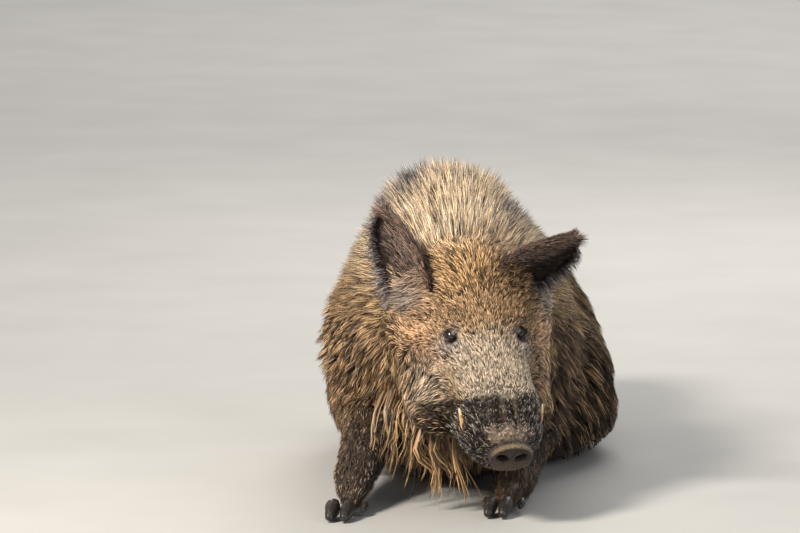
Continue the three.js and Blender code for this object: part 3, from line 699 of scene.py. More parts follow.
def skin_material():
    """The skin under the coat, dark between the hairs and at the lids' rims, partly as painted shade, and
    bare and grey round the eyes.
    """
    made, w, shader = new_material("boar_skin")
    strand, place = w.carried("strand"), w.place()
    colour, rough = toned(w, Along=strand[0], Black=rgb(0x120D0C), Chance=w.noise(420.0, 3.0, place))
    bare = w.ramp(w.noise(130.0, 4.0, place), (0.3, rgb(0x54453F)), (0.7, rgb(0xA3918A)))
    # near black at the lids' rims and in their wrinkles: dark lid skin, and painted shade round the sunken
    # eyes and in the creases
    rim = w.mix(strand[1], bare, rgb(0x130E0F))
    w.feed(shader, Base_Color=w.mix(strand[2], colour, rim), Specular_IOR_Level=0.3,
           Roughness=w.math("SUBTRACT", rough, w.math("MULTIPLY", strand[2], 0.1)))
    w.bump(shader, 0.6, 0.0015, w.noise(520.0, 4.0, place, 0.7))
    return made


def grimy(w, place, clean, dirt, scale, low, high):
    """Dirt in patches over a clean colour, from where the noise passes low to full dirt at high."""
    return w.mix(w.ramp(w.noise(scale, 4.0, place), (low, 0.0), (high, 1.0)), clean, dirt)


def eye_material():
    """A wet eye: black pupil, brown iris and dark rim, laid out by the angle from its axis."""
    made, w, shader = new_material("boar_eye")
    ring = w.ramp(w.carried("strand")[0], (0.0, rgb(0x050404)), (0.28, rgb(0x050404)), (0.34, rgb(0x4A2813)),
                  (0.54, rgb(0x2A170D)), (0.62, rgb(0x0E0A08)), (0.9, rgb(0x1A1412)))
    w.feed(shader, Base_Color=ring, Roughness=0.12, Coat_Weight=1.0, Coat_Roughness=0.05)
    return made


def tusk_material():
    """Stained ivory, brown at the root."""
    made, w, shader = new_material("boar_tusk")
    place = w.place()
    ivory = w.ramp(w.carried("strand")[0], (0.3, rgb(0x5A3517)), (0.6, rgb(0xB8793C)), (0.85, rgb(0xD9B27C)),
                   (0.97, rgb(0xEBD9B8)))
    w.feed(shader, Base_Color=grimy(w, place, ivory, rgb(0x9A6B3B), 160.0, 0.5, 0.7), Roughness=0.3)
    w.bump(shader, 0.25, 0.0008, w.noise(300.0, 2.0, place))
    return made


def disc_material():
    """The wet bare disc: dark, with drying mud along its upper rim, and nostrils painted black as painted
    shade inside them.
    """
    made, w, shader = new_material("boar_snout_disc")
    place = w.place()
    hole, muddy, _ = w.carried("strand")
    wet = w.ramp(w.noise(210.0, 5.0, place, 0.75), (0.38, rgb(0x16100E)), (0.66, rgb(0x53443A)))
    mud = w.ramp(w.noise(300.0, 4.0, place, 0.7), (0.32, rgb(0x5A4938)), (0.7, rgb(0xA68C68)))
    # the nostrils are painted near black: painted shade in the deep holes
    w.feed(shader, Base_Color=w.mix(hole, w.mix(muddy, wet, mud), rgb(0x050404)),
           Roughness=w.math("ADD", 0.34, w.math("MULTIPLY", muddy, 0.4)),
           Specular_IOR_Level=w.math("SUBTRACT", 0.5, w.math("MULTIPLY", hole, 0.5)))
    pores = w.add("ShaderNodeTexVoronoi", Scale=420.0, Vector=place).outputs["Distance"]
    w.bump(shader, 0.9, 0.003, w.math("ADD", pores, w.math("MULTIPLY", w.noise(180.0, 4.0, place), 2.0)))
    return made


def hoof_material():
    """Dark horn with faint growth rings and dried mud."""
    made, w, shader = new_material("boar_hoof")
    place = w.place()
    rings = w.add("ShaderNodeTexWave", {"bands_direction": "Y"}, Scale=55.0, Distortion=2.5, Detail=2.0,
                  Vector=place).outputs["Fac"]
    horn = w.ramp(rings, (0.1, rgb(0x1E1916)), (0.9, rgb(0x2C2521)))
    w.feed(shader, Base_Color=grimy(w, place, horn, rgb(0x5C4D3D), 140.0, 0.52, 0.8), Roughness=0.42)
    w.bump(shader, 0.2, 0.0006, rings)
    return made


def floor_material():
    """A pale, faintly clouded floor."""
    made, w, shader = new_material("pale_floor")
    w.feed(shader, Roughness=0.8,
           Base_Color=w.ramp(w.noise(3.0, 3.0, w.place()), (0.3, rgb(0xB0ADA8)), (0.7, rgb(0xB6B3AE))))
    return made


SKIN = skin_material()
EYEBALL = eye_material()
IVORY = tusk_material()
DISC_SKIN = disc_material()
HORN = hoof_material()
COAT = bristle_material("boar_coat")
MANE = bristle_material("boar_mane", Straw=rgb(0xC9A67A), Tip=rgb(0xEFD3AB), Dark_share=0.24)
WET = bristle_material("boar_wet_coat", gloss=0.6, Root=rgb(0x2A1C12), Straw=rgb(0xB48E68), Tip=rgb(0xD9B48C))
SNOUT = bristle_material("boar_snout_hair", gloss=0.6, Root=rgb(0x15110F), Straw=rgb(0xB3A491),
                         Tip=rgb(0xE4D8C6), Dark=rgb(0x1C1614), Pale_share=0.34)
LOCKS = bristle_material("boar_wet_locks", gloss=0.5, Root=rgb(0x6E5439), Straw=rgb(0x98764F),
                         Tip=rgb(0xB8935F), Dark_share=0.30)
# Its near-black colour paints the hair in the bare part of each ear's hollow: painted shade.
EAR_HAIR = bristle_material("boar_ear_hair", Root=rgb(0x1C1314), Straw=rgb(0x735343), Tip=rgb(0xA07E6B),
                            Dark_share=0.28, Black=rgb(0x0C0909), Pale_share=0.05)


# ---------------------------------------------------------------- the skin
def ear_frame(name):
    """Root, way to the tip, way across and way out of the hollow of an ear."""
    root, along, facing = {
        "ear_left": ((0.136, -0.302, 0.450), (0.8, -0.32, 0.48), (0.43, -0.68, -0.59)),
        "ear_right": ((-0.021, -0.371, 0.419), (-0.4, 0.05, 0.91), (-0.66, -0.75, 0.0)),
    }[name]
    tip = unit(np.array(along))
    across = unit(np.cross(tip, np.array(facing)))
    return np.array(root), tip, across, unit(np.cross(across, tip))


# Metres from root to tip, half the width, the depth of the hollow, and the thickness inside and at the rim.
EAR = {"length": 0.180, "width": 0.057, "cup": 0.025, "thick": 0.008, "rim": 0.003}
EAR_TURN = 1.25  # from the middle of an ear to either edge, in radians
EAR_ROWS, EAR_COLUMNS = 34, 30


def ear_point(name, u, turn, wall):
    """Points of an ear.

    u runs from root to tip, turn from edge to edge, and wall is 1 inside the hollow and -1 outside.
    """
    root, tip, across, out = ear_frame(name)
    half = EAR["width"] * (0.85 + 0.6 * u) * np.power(1.02 - u**2, 0.75)
    thick = EAR["rim"] + (EAR["thick"] - EAR["rim"]) * np.cos(turn) * (1 - u)
    cup = EAR["cup"] * (1 - 0.6 * u) * (1 - 2 * np.cos(turn))
    return (root + col(EAR["length"] * u) * tip + col(half * np.sin(turn)) * across
            + col(cup + wall * thick / 2) * out)


def ear_shell(name):
    """The ear as a closed shell of quads."""
    rows, columns = EAR_ROWS, EAR_COLUMNS
    turns = np.linspace(-EAR_TURN, EAR_TURN, columns + 1)
    u, turn = (grid.ravel() for grid in np.meshgrid(np.linspace(0, 1, rows + 1), turns, indexing="ij"))
    points = np.concatenate([ear_point(name, u, turn, wall) for wall in (1.0, -1.0)])

    def at(wall, i, j):
        """The number of a point."""
        return (wall * (rows + 1) + i) * (columns + 1) + j

    quads = []
    for i in range(rows):
        for j in range(columns):
            quads.append((at(0, i, j), at(0, i, j + 1), at(0, i + 1, j + 1), at(0, i + 1, j)))
            quads.append((at(1, i, j), at(1, i + 1, j), at(1, i + 1, j + 1), at(1, i, j + 1)))
        quads.append((at(1, i, 0), at(0, i, 0), at(0, i + 1, 0), at(1, i + 1, 0)))
        quads.append((at(0, i, columns), at(1, i, columns), at(1, i + 1, columns), at(0, i + 1, columns)))
    for j in range(columns):
        quads.append((at(0, 0, j + 1), at(0, 0, j), at(1, 0, j), at(1, 0, j + 1)))
        quads.append((at(0, rows, j), at(0, rows, j + 1), at(1, rows, j + 1), at(1, rows, j)))
    return points, facing_out(points, np.array(quads))


def settle(p, height, rounds=4):
    """Moves points along the slope until they stand at a height above the skin."""
    for _ in range(rounds):
        p = p - slope(FLESH_CELLS, p) * col(read(FLESH_CELLS, p) - height)
    return p


# The rings and spokes of quads round an eye. In metres, how far its folds reach and how high they are, the
# radius of the lids, how thick their edge is, and how far it turns in to the eyeball.
LID = {
    "rings": 34, "spokes": 96, "reach": 0.036, "fold": 0.0017, "shell": 0.0136, "edge": 0.0018, "in": 0.0022,
}
EYE_RADIUS = 0.0122  # of the eyeball, in metres


def almond(turn, long, high):
    """How far an almond reaches from its middle at each turn, with its corners at 0 and half a turn."""
    rise, bend = np.abs(np.sin(turn)), high * np.cos(turn) ** 2 / long**2 + 1e-6
    return (np.sqrt(rise**2 + 4 * bend * high) - rise) / (2 * bend)


def eyelids(s):
    """Both lids and the folds round one eye, as a patch that closes behind itself under the skin."""
    centre, axis = eye_middle(s), eye_axis(s)
    # the slit runs from the outer corner down to the inner one, towards the snout
    corner = unit(-HEAD_BACK * 0.80 - s * HEAD_SIDE * 0.50 - HEAD_UP * 0.25)
    long = unit(corner - axis * (corner @ axis))
    high = np.cross(axis, long)
    if high @ HEAD_UP < 0:
        high = -high
    rings, spokes = LID["rings"], LID["spokes"]
    turn = np.arange(spokes) / spokes * 2 * np.pi
    opening = almond(turn, 0.92, 0.30 - 0.05 * np.sin(turn))
    round_eye = col(np.cos(turn)) * long + col(np.sin(turn)) * high
    rows, bare, rim = [], [], []
    for i in range(rings + 1):
        t = i / rings
        angle = opening + (1.65 - opening) * min(t * 2.2, 1.0)
        thick = LID["edge"] * bell(t - 0.09, 0.06)
        crease = 0.0011 * np.cos(34 * t + 0.8 * np.sin(turn)) * soft(np.array(t), 0.08, 0.2)
        shell = LID["shell"] + thick + crease
        ball = centre + col(shell) * (col(np.cos(angle)) * axis + col(np.sin(angle)) * round_eye)
        spread = 0.012 + (LID["reach"] - 0.012) * t
        flat = centre + axis * 0.004 + spread * round_eye
        fold = LID["fold"] * np.sin(30 * t + 1.3 * np.sin(2 * turn) + s * turn) * (1 - t)
        ground = settle(flat, 0.0024 * math.cos(1.2 * t) + fold - 0.0035 * soft(t, 0.82, 1.0))
        blend = float(soft(t, 0.08, 0.46))
        rows.append(ball * (1 - blend) + ground * blend)
        bare.append(np.full(spokes, float(soft(t, 0.88, 0.42))))
        outer, inner = np.maximum(-np.cos(turn), 0), np.maximum(np.cos(turn), 0) ** 6
        # dark lid skin round the slit, spread wide as painted shade over the sunken eye, and darker in the
        # valleys of the wrinkles as painted shade in the creases
        dark_lid_and_shade = np.clip(1.3 - t / (0.07 + 0.20 * np.cos(turn) ** 2 + 0.24 * outer + 0.34 * inner), 0, 1)
        rim.append(dark_lid_and_shade + 0.8 * soft(-fold / LID["fold"], 0.1, 0.9) * (1 - t))
    # the edge of the lids turns in to the eyeball
    inner_edge = opening + 0.05
    inwards = col(np.cos(inner_edge)) * axis + col(np.sin(inner_edge)) * round_eye
    lining = centre + (LID["shell"] - LID["in"]) * inwards
    back = rows[-1] - axis * 0.012
    loops = [lining] + rows + [back]
    bare = [np.ones(spokes)] + bare + [np.zeros(spokes)]
    # the lining is painted fully dark: dark lid margin, and painted shade where it turns in
    rim = [np.ones(spokes)] + rim + [np.zeros(spokes)]
    points = np.concatenate(loops)
    quads = facing_out(points, np.array(ring_quads(len(loops), spokes, closed=True)))
    return points, quads, np.concatenate(bare), np.clip(np.concatenate(rim), 0, 1)


SKIN_GAP = 0.0012  # the least height of the skin above the floor
# The skin takes the dark tone of the roots: partly its own colour and partly painted shade deep in the coat.
SKIN_TONE = 0.34  # the skin has the tone that a bristle has this far along


def haired(points, quads):
    """Skin that is neither bare nor dark-rimmed, in the way that eyelids gives it."""
    return points, quads, np.zeros(len(points)), np.zeros(len(points))


def build_skin():
    """The skin in one piece: the body, the ears and the eyelids. Gives the body's points and quads."""
    points, quads = surface_of(FLESH_CELLS, 0.0)
    points = points.astype(float)
    points[:, 2] = np.maximum(points[:, 2], SKIN_GAP)
    quads = facing_out(points, quads.astype(np.int64))
    parts = [haired(points, quads)]
    parts += [haired(*ear_shell(name)) for name in EARS]
    parts += [eyelids(s) for s in LEFT_AND_RIGHT]
    starts = np.cumsum([0] + [len(part[0]) for part in parts])
    faces = np.concatenate([part[1] + start for part, start in zip(parts, starts)])
    everything, bare, rim = (np.concatenate([part[k] for part in parts]) for k in (0, 2, 3))
    marks = markings(everything)
    ears = slice(starts[1], starts[1 + len(EARS)])
    # the ears' skin is painted black: painted shade in their hollows
    marks[ears] = np.eye(len(MARKS))[DARK_AND_SHADE]
    skin = mesh_piece("skin", everything, faces, coloured(strands(SKIN_TONE, rim, bare), marks), SKIN)
    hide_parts(*FLESH, *EARS, "throat_locks")
    return points, quads


SKIN_POINTS, SKIN_QUADS = build_skin()


# ---------------------------------------------------------------- how the coat lies
# On the right jowl the hair lies in arcs about this point of a plane that faces forwards.
ARC_OUT = np.array((-0.991, -0.131, 0.0))
ARC_UP = np.array((-0.018, 0.138, 0.990))
ARC_MIDDLE = 0.045 * ARC_OUT + 0.082 * ARC_UP


def lie_of_coat(p):
    """The way the hair lies at points, from root to tip. It is laid along the skin afterwards."""
    head, leg, tail = shares_here(p)
    q = head_place(p)
    s, b, u = q.T
    x, y, z = p.T
    # the trunk: backwards, and down its sides
    side = np.sign(x) * soft(np.abs(x), 0.0, 0.08)
    fall = soft(z, 0.56, 0.30)
    trunk = np.stack((0.25 * side, 1.0 - 0.55 * fall, -1.1 * fall), axis=1)
    # the front of the crest and the neck: outwards from behind the forehead, and hanging lower down
    spoke = unit(np.stack((x - 0.055, 0 * x, z - 0.40), axis=1))
    hang = soft(z, 0.46, 0.26)
    front = spoke * col(1 - 0.6 * hang) + np.array((0, 0.35, 0)) + DOWN * col(0.12 + 1.1 * hang)
    front[:, 0] -= 0.35 * soft(x, 0.02, -0.12) * soft(z, 0.10, 0.3) * soft(z, 0.55, 0.4)
    way = mixed(front, trunk, soft(y, -0.12, 0.16))
    # the head: back from the snout, spreading over the forehead like a fan, and hanging from the jowl
    spread = col(s / 62) * HEAD_SIDE
    face = HEAD_BACK + 0.30 * spread * col(soft(b, 60, 250)) + 0.35 * HEAD_UP * col(soft(b, 260, 400))
    face += 0.85 * spread * col(soft(b, 270, 390)) * col(soft(u, 0, 40))
    low = soft(u + 0.12 * (b - 150), 24, -36) * soft(b, 40, 150)
    face = mixed(face, 0.30 * HEAD_BACK + DOWN + 0.12 * spread, low)
    # from the rusty patch it comes forwards and meets the hair of the snout
    forward = dome(q, (-124, 262, 4), (36, 40, 32)) + 0.6 * dome(q, (124, 262, 4), (36, 40, 32))
    face = mixed(face, DOWN * 0.8 - 0.75 * HEAD_BACK, np.minimum(forward, 1.0))
    for sign, place in RUFFS.items():
        face = mixed(face, sign * HEAD_SIDE + 0.55 * DOWN + 0.35 * HEAD_BACK, dome(q, place, (38, 42, 38)))
    chin = soft(u, -20, -60) * soft(b, 190, 90)
    face = mixed(face, 0.5 * HEAD_BACK + 0.8 * DOWN, chin)
    # over the right jowl it sweeps outwards from the lips and down, in arcs about one point
    off = p - ARC_MIDDLE
    out, over = off @ ARC_OUT, off @ ARC_UP
    arc = col(over) * ARC_OUT - col(out) * ARC_UP
    ring = soft(np.hypot(out, over), 0.105, 0.075) * soft(s, -46, -72) * soft(b, 275, 225)
    face = mixed(face, unit(arc) + 0.2 * ARC_OUT, ring)
    curl = q - np.array(WHORL)
    round_whorl = np.stack((0 * s, -curl[:, 2], curl[:, 1]), axis=1) @ HEAD_AXES / 20
    face = mixed(face, round_whorl + 0.2 * DOWN, 0.9 * dome(q, WHORL, (26, 26, 26)))
    way = mixed(way, face, soft(head, 0.25, 0.75))
    # the legs: towards the toes
    ahead = np.where((y > 0.2) & (np.abs(x) < 0.19), 1.0, -1.0)
    toes = np.stack((0.05 * np.sign(x), ahead, np.full(len(p), -0.35)), axis=1)
    way = mixed(way, toes, soft(leg, 0.3, 0.7))
    return unit(mixed(way, DOWN + np.array((0, 0.12, 0)), soft(tail, 0.3, 0.7)))


def coat_length(p):
    """How long the hair is at points, in metres."""
    head, leg, tail = shares_here(p)
    q = head_place(p)
    s, b, u = q.T
    y, z = p[:, 1], p[:, 2]
    face = 10 + 6 * soft(b, 120, 150) + 16 * soft(b, 290, 420)
    face += 9 * soft(b, 128, 100) * soft(np.abs(s), 25, 60)
    face += 14 * dome(q, (-80, 425, 98), (26, 30, 26)) + 12 * dome(q, (112, 410, 60), (30, 30, 30))
    face = mixed(face, 42, soft(u, 34, -50) * soft(b, 90, 230))
    face = mixed(face, 24, soft(u, -20, -60) * soft(b, 150, 90))
    for place in RUFFS.values():
        face = face + 34 * dome(q, place, (34, 38, 34))
    body = 60 - 8 * soft(y, 0.3, 0.0) + 22 * mane_share(p)
    body -= 12 * soft(y, 0.15, 0.0) * soft(z, 0.50, 0.40)
    body += 26 * dome(p, (-0.20, -0.30, 0.19), (0.08, 0.12, 0.06))
    body = body * mixed(1.0, 0.62, soft(z, 0.10, 0.03))
    length = mixed(body, face, soft(head, 0.1, 0.85))
    length = mixed(length, 26, soft(leg, 0.2, 0.7))
    return MM * mixed(length, 30, soft(tail, 0.2, 0.7))


def turned(way, normal, angle):
    """Turns each way about its normal."""
    return way * col(np.cos(angle)) + np.cross(normal, way) * col(np.sin(angle))


ROOT_DEPTH = 0.0015  # how deep in the skin the hair is rooted
HAIR_GAP = 0.0009  # the least height of the hair above the floor


def above_floor(path, gap):
    """Paths, lifted where they would come nearer to the floor than the gap."""
    path[:, :, 2] = np.maximum(path[:, :, 2], gap)
    return path


def grow(roots, length, rise, segments, yaw, fall):
    """Paths of tufts that follow the lie of the coat and rise from the skin to the height given.

    fall bends a tuft's outer half down, for hair that hangs clear of the skin.
    """
    p = settle(roots, -ROOT_DEPTH, 2)
    path = [p]
    step = length / segments
    for k in range(1, segments + 1):
        normal = slope(FLESH_CELLS, p)
        way = lie_of_coat(p)
        way = unit(way - normal * col((way * normal).sum(axis=1)))
        way = turned(way, normal, yaw)
        t = k / segments
        goal = rise * (1 - (1 - t) ** 1.6)
        lift = np.clip(goal - read(FLESH_CELLS, p), -0.5 * step, 0.92 * step)
        ahead = np.sqrt(np.maximum(step**2 - lift**2, 0.1 * step**2))
        p = p + way * col(ahead) + normal * col(lift) + DOWN * col(fall * step * t)
        path.append(p)
    return above_floor(np.stack(path, axis=1), HAIR_GAP)


def clump(path, each, pull):
    """Draws neighbouring tufts together, into locks of about so many tufts each.

    Gives the paths, and a chance for each tuft that most of a lock's tufts share.
    """
    roots = path[:, 0]
    count = len(roots) // each
    centres = rng.choice(len(roots), count, replace=False)
    tree = kdtree.KDTree(count)
    for i, c in enumerate(centres):
        tree.insert(roots[c], i)
    tree.balance()
    found = [tree.find(r)[1:] for r in roots]
    own, apart = (np.array(v) for v in zip(*found))
    middle = path[centres[own]]
    reach = 2.2 * np.median(apart)
    close = soft(apart, 1.6 * reach, 0.8 * reach) * rng.uniform(0.5, 1.0, count)[own]
    gathered = 0.45 * soft(pull, 0.6, 0.8)
    t = np.linspace(0, 1, path.shape[1])[None, :, None] ** 1.2
    bundled = middle + (path - middle) * (1 - pull * (gathered + (1 - gathered) * t))
    out = path + (bundled - path) * close[:, None, None]
    shared = np.clip(rng.random(count)[own] + rng.normal(0, 0.012, len(roots)), 0, 1)
    chance = np.where(rng.random(len(roots)) < 0.55 * pull, shared, rng.random(len(roots)))
    return above_floor(out, HAIR_GAP), chance


def tuft_mesh(path, width, flat, sides, normal):
    """Closed tapering tufts along paths, sides points round and as thick as flat times their width.

    Gives the points and triangles, how far along and round its tuft each point is, from 0 to 1, and the
    number of points of a tuft.
    """
    n, m, _ = path.shape
    tangent = np.empty_like(path)
    tangent[:, 1:-1] = path[:, 2:] - path[:, :-2]
    tangent[:, 0] = path[:, 1] - path[:, 0]
    tangent[:, -1] = path[:, -1] - path[:, -2]
    tangent = unit(tangent)
    across = unit(np.cross(tangent, normal[:, None, :]))
    over = np.cross(across, tangent)
    rings = m - 1
    t = np.arange(rings) / rings
    profile = np.interp(t, (0, 0.25, 0.6, 1.0), (0.75, 1.0, 0.8, 0.12))
    angle = np.arange(sides) / sides * 2 * np.pi + np.pi / 2
    half = 0.5 * width[:, None, None, None] * profile[None, :, None, None]
    ring = (across[:, :rings, None, :] * np.cos(angle)[None, None, :, None]
            + flat * over[:, :rings, None, :] * np.sin(angle)[None, None, :, None])
    body = path[:, :rings, None, :] + half * ring
    points = np.concatenate((body.reshape(n, rings * sides, 3), path[:, -1:, :]), axis=1)
    each = rings * sides + 1
    faces = [(0, k, k + 1) for k in range(1, sides - 1)]
    for a, b, c, d in ring_quads(rings, sides):
        faces += [(a, d, b), (b, d, c)]
    last = (rings - 1) * sides
    for j in range(sides):
        faces.append((last + j, each - 1, last + (j + 1) % sides))
    faces = facing_out(points[0], np.array(faces))
    triangles = (np.arange(n)[:, None, None] * each + faces[None]).reshape(-1, 3)
    along = np.append(np.repeat(t, sides), 1.0)
    round_tuft = np.append(np.tile(np.arange(sides) / sides, rings), 0.5)
    return points.reshape(-1, 3), triangles, np.tile(along, n), np.tile(round_tuft, n), each


TUFT_PATCH = 0.003  # the side of the small square that each tuft takes on the unwrap


def unwrap(p, area):
    """The place of skin points on an unwrap of the skin: round the head, the body or the legs, and along."""
    if area == "head":
        s, b, u = head_place(p).T
        across, along = np.arctan2(s, u + 55), (b + 20) / 560
    elif area == "body":
        across, along = np.arctan2(p[:, 0], p[:, 2] - 0.25), (p[:, 1] + 0.5) / 1.5
    else:
        across, along = np.arctan2(np.abs(p[:, 0]) - 0.155, p[:, 2] - 0.07), (p[:, 1] + 0.6) / 1.55
    return np.clip(np.stack((across / (2 * np.pi) + 0.5, along), axis=1), 0.004, 0.993)


def add_tufts(name, path, width, chance, marks, place, material, normal, flat=0.6, sides=3):
    """One piece of the coat, with a chance, markings and a place on the unwrap for each tuft."""
    points, triangles, along, round_tuft, each = tuft_mesh(path, width, flat, sides, normal)
    strand = strands(along, np.repeat(chance, each))
    uv = np.repeat(place, each, axis=0) + TUFT_PATCH * np.stack((round_tuft, along), axis=1)
    attributes = coloured(strand, np.repeat(marks, each, axis=0))
    mesh_piece(name, points, triangles, attributes, material, uv)


# ---------------------------------------------------------------- where tufts grow
CORNERS = SKIN_POINTS[SKIN_QUADS]
MIDDLES = CORNERS.mean(axis=1)
AREAS = 0.5 * np.linalg.norm(np.cross(CORNERS[:, 2] - CORNERS[:, 0], CORNERS[:, 3] - CORNERS[:, 1]), axis=1)
HEAD_HERE, LEG_HERE, TAIL_HERE = (read(MASKS[k], MIDDLES) for k in ("head", "leg", "tail"))
HEAD_AT = head_place(MIDDLES)
NORMALS = slope(FLESH_CELLS, MIDDLES)
SEEN = soft(NORMALS[:, 2] + 2.0 * soft(MIDDLES[:, 2], 0.05, 0.15), -0.9, -0.3)


def eye_clear(p):
    """0 on the bare skin round the eyes, 1 away from it."""
    near = np.minimum(*(np.linalg.norm(p - eye_place(s) - 0.006 * eye_axis(s) + 0.007 * HEAD_BACK, axis=1)
                        for s in LEFT_AND_RIGHT))
    return soft(near, 0.0135, 0.022)


def sow(weight, count):
    """Random root points on the skin, more where the weight is higher."""
    share = AREAS * np.maximum(weight, 0) * (0.05 + SEEN)
    picks = rng.choice(len(AREAS), count, p=share / share.sum())
    a, b = rng.random(count), rng.random(count)
    q = CORNERS[picks]
    low = q[:, 0] + (q[:, 1] - q[:, 0]) * col(a)
    high = q[:, 3] + (q[:, 2] - q[:, 3]) * col(a)
    return low + (high - low) * col(b)


def patch_shares():
    """Areas of the coat, as weights on the skin's faces, with ragged borders between them."""
    s, b, u = HEAD_AT.T
    x, y, z = MIDDLES.T
    stray = 9 * ragged(MIDDLES, 0.011)
    head = HEAD_HERE + 0.02 * stray > 0.5
    leg = LEG_HERE + 0.02 * stray > 0.5
    tail = TAIL_HERE > 0.5
    clear = eye_clear(MIDDLES)
    snout = head & (b + 0.4 * stray < 124)
    top = u + stray > 8
    face = head & ~snout & top & (b + stray < 318)
    brow = head & ~snout & top & ~face
    cheek = head & ~snout & ~top
    rest = ~head & ~leg & ~tail
    front = rest & (y + 0.001 * stray < 0.12)
    crown = front & (z + 0.002 * stray > 0.36)
    return {
        "face": face * clear,
        "snout": snout * (0.6 + 0.4 * soft(b, 40, 60)) * (1 - 0.98 * grooves(s, b, u)),
        "brow": brow * clear,
        "cheek": cheek * clear,
        "crown": crown,
        "apron": (front & ~crown) * soft(x, 0.30, 0.1),
        "trunk": rest & ~front & (y < 0.52),
        "rump": rest & (y >= 0.52),
        "leg": leg,
        "tail": tail,
    }


SHARES = patch_shares()


def spread_of(n, low, high):
    """n random numbers between low and high."""
    return rng.uniform(low, high, n)


# area: where it grows, from SHARES. rise: the tips' least and most height, as shares of the coat's depth.
# stray: how much higher a few tips stand, in millimetres. yaw: how ruffled it is. each: tufts in a lock.
# pull: how far a lock is drawn together. fall: how much it hangs. wrap: which unwrap it takes.
Coat = namedtuple("Coat", "area tufts segments rise stray thick yaw each pull fall material slot wrap")
COATS = {
    "coat_bridge": ("face", 15000, 2, (0.5, 1.6), 0, 0.85, 0.36, 10, 0.45, 0.0, COAT, "coat", "head"),
    "coat_snout": ("snout", 9500, 3, (0.5, 2.0), 0, 0.88, 0.45, 12, 0.65, 0.1, SNOUT, "dark_coat", "head"),
    "coat_brow": ("brow", 11500, 2, (0.6, 1.6), 0, 1.0, 0.36, 12, 0.55, 0.0, COAT, "coat", "head"),
    "coat_cheeks": ("cheek", 10500, 3, (0.4, 1.5), 3, 0.86, 0.26, 14, 0.72, 0.2, COAT, "coat", "head"),
    "coat_crown_low": ("crown", 8000, 2, (0.35, 0.8), 0, 1.0, 0.26, 14, 0.40, 0.0, MANE, "mane_coat", "body"),
    "coat_crown": ("crown", 17500, 2, (0.80, 1.40), 16, 0.62, 0.24, 7, 0.50, 0.0, MANE, "mane_coat", "body"),
    "coat_apron": ("apron", 9500, 3, (0.4, 2.5), 12, 1.05, 0.26, 15, 0.86, 0.40, WET, "coat", "body"),
    "coat_trunk": ("trunk", 11500, 2, (0.5, 1.5), 4, 1.25, 0.22, 13, 0.74, 0.15, COAT, "coat", "body"),
    "coat_rump": ("rump", 9500, 2, (0.5, 1.5), 4, 1.25, 0.22, 13, 0.74, 0.15, COAT, "coat", "body"),
    "coat_legs": ("leg", 9000, 2, (0.4, 1.3), 0, 0.80, 0.20, 10, 0.60, 0.1, WET, "dark_coat", "legs"),
    "coat_tail": ("tail", 1300, 2, (0.5, 1.4), 0, 1.0, 0.20, 10, 0.50, 0.2, COAT, "dark_coat", "body"),
}


# The hair stands higher on the left shoulder of the crest: by how much, in metres, and where.
STANDING, STANDING_AT, STANDING_REACH = 0.024, (0.12, -0.04, 0.54), (0.08, 0.16, 0.08)


def build_coat():
    """The coat of the body, the head, the legs and the tail, one piece for each row of the table."""
    for name, row in COATS.items():
        kind = Coat(*row)
        roots = sow(SHARES[kind.area], kind.tufts)
        n = len(roots)
        length = coat_length(roots) * spread_of(n, 0.7, 1.25)
        height = read(DEPTH, roots) * spread_of(n, *kind.rise) + MM * kind.stray * rng.random(n) ** 2
        height += STANDING * dome(roots, STANDING_AT, STANDING_REACH) * rng.random(n)
        path = grow(roots, length, height, kind.segments, rng.normal(0, kind.yaw, n), kind.fall)
        path, chance = clump(path, kind.each, kind.pull)
        width = MM * kind.thick * 0.40 * np.sqrt(length / MM) * spread_of(n, 0.75, 1.2)
        roots = path[:, 0]
        add_tufts(name, path, width, chance, markings(roots), unwrap(roots, kind.wrap),
                  kind.material, slope(FLESH_CELLS, roots))


build_coat()


# ---------------------------------------------------------------- ears
def sow_ear(name, u, turn, wall):
    """Roots, ways along and across, and normals on one wall of an ear."""
    here = ear_point(name, u, turn, wall)
    way = unit(ear_point(name, np.minimum(u + 0.01, 1.0), turn, wall) - here)
    across = unit(ear_point(name, u, turn + 0.01, wall) - here)
    normal = unit(np.cross(way, across))
    normal *= col(np.where((normal @ ear_frame(name)[3]) * wall > 0, 1.0, -1.0))
    return here, way, across, normal


def curved(root, way, normal, length, lift, segments, droop):
    """Free tufts that start along way, lift off along normal and droop to the tip."""
    path = [root - normal * 0.001]
    for k in range(1, segments + 1):
        t = k / segments
        onward = unit(way + normal * col(lift * (1.2 - t)) + DOWN * droop * t)
        path.append(path[-1] + col(length / segments) * onward)
    return np.stack(path, axis=1)


# fringe: which edge is the long-haired one, by the sign of its turn. filled: how much of the hollow is filled
# with hair. dark: how dark the hair is.
EAR_LOOKS = {
    "ear_right": {"fringe": -1, "filled": -0.45, "dark": 0.24},
    "ear_left": {"fringe": 1, "filled": -0.15, "dark": 0.04},
}
EAR_TUFTS = {"outer": 2400, "inner": 4000, "long_edge": 800, "short_edge": 800}


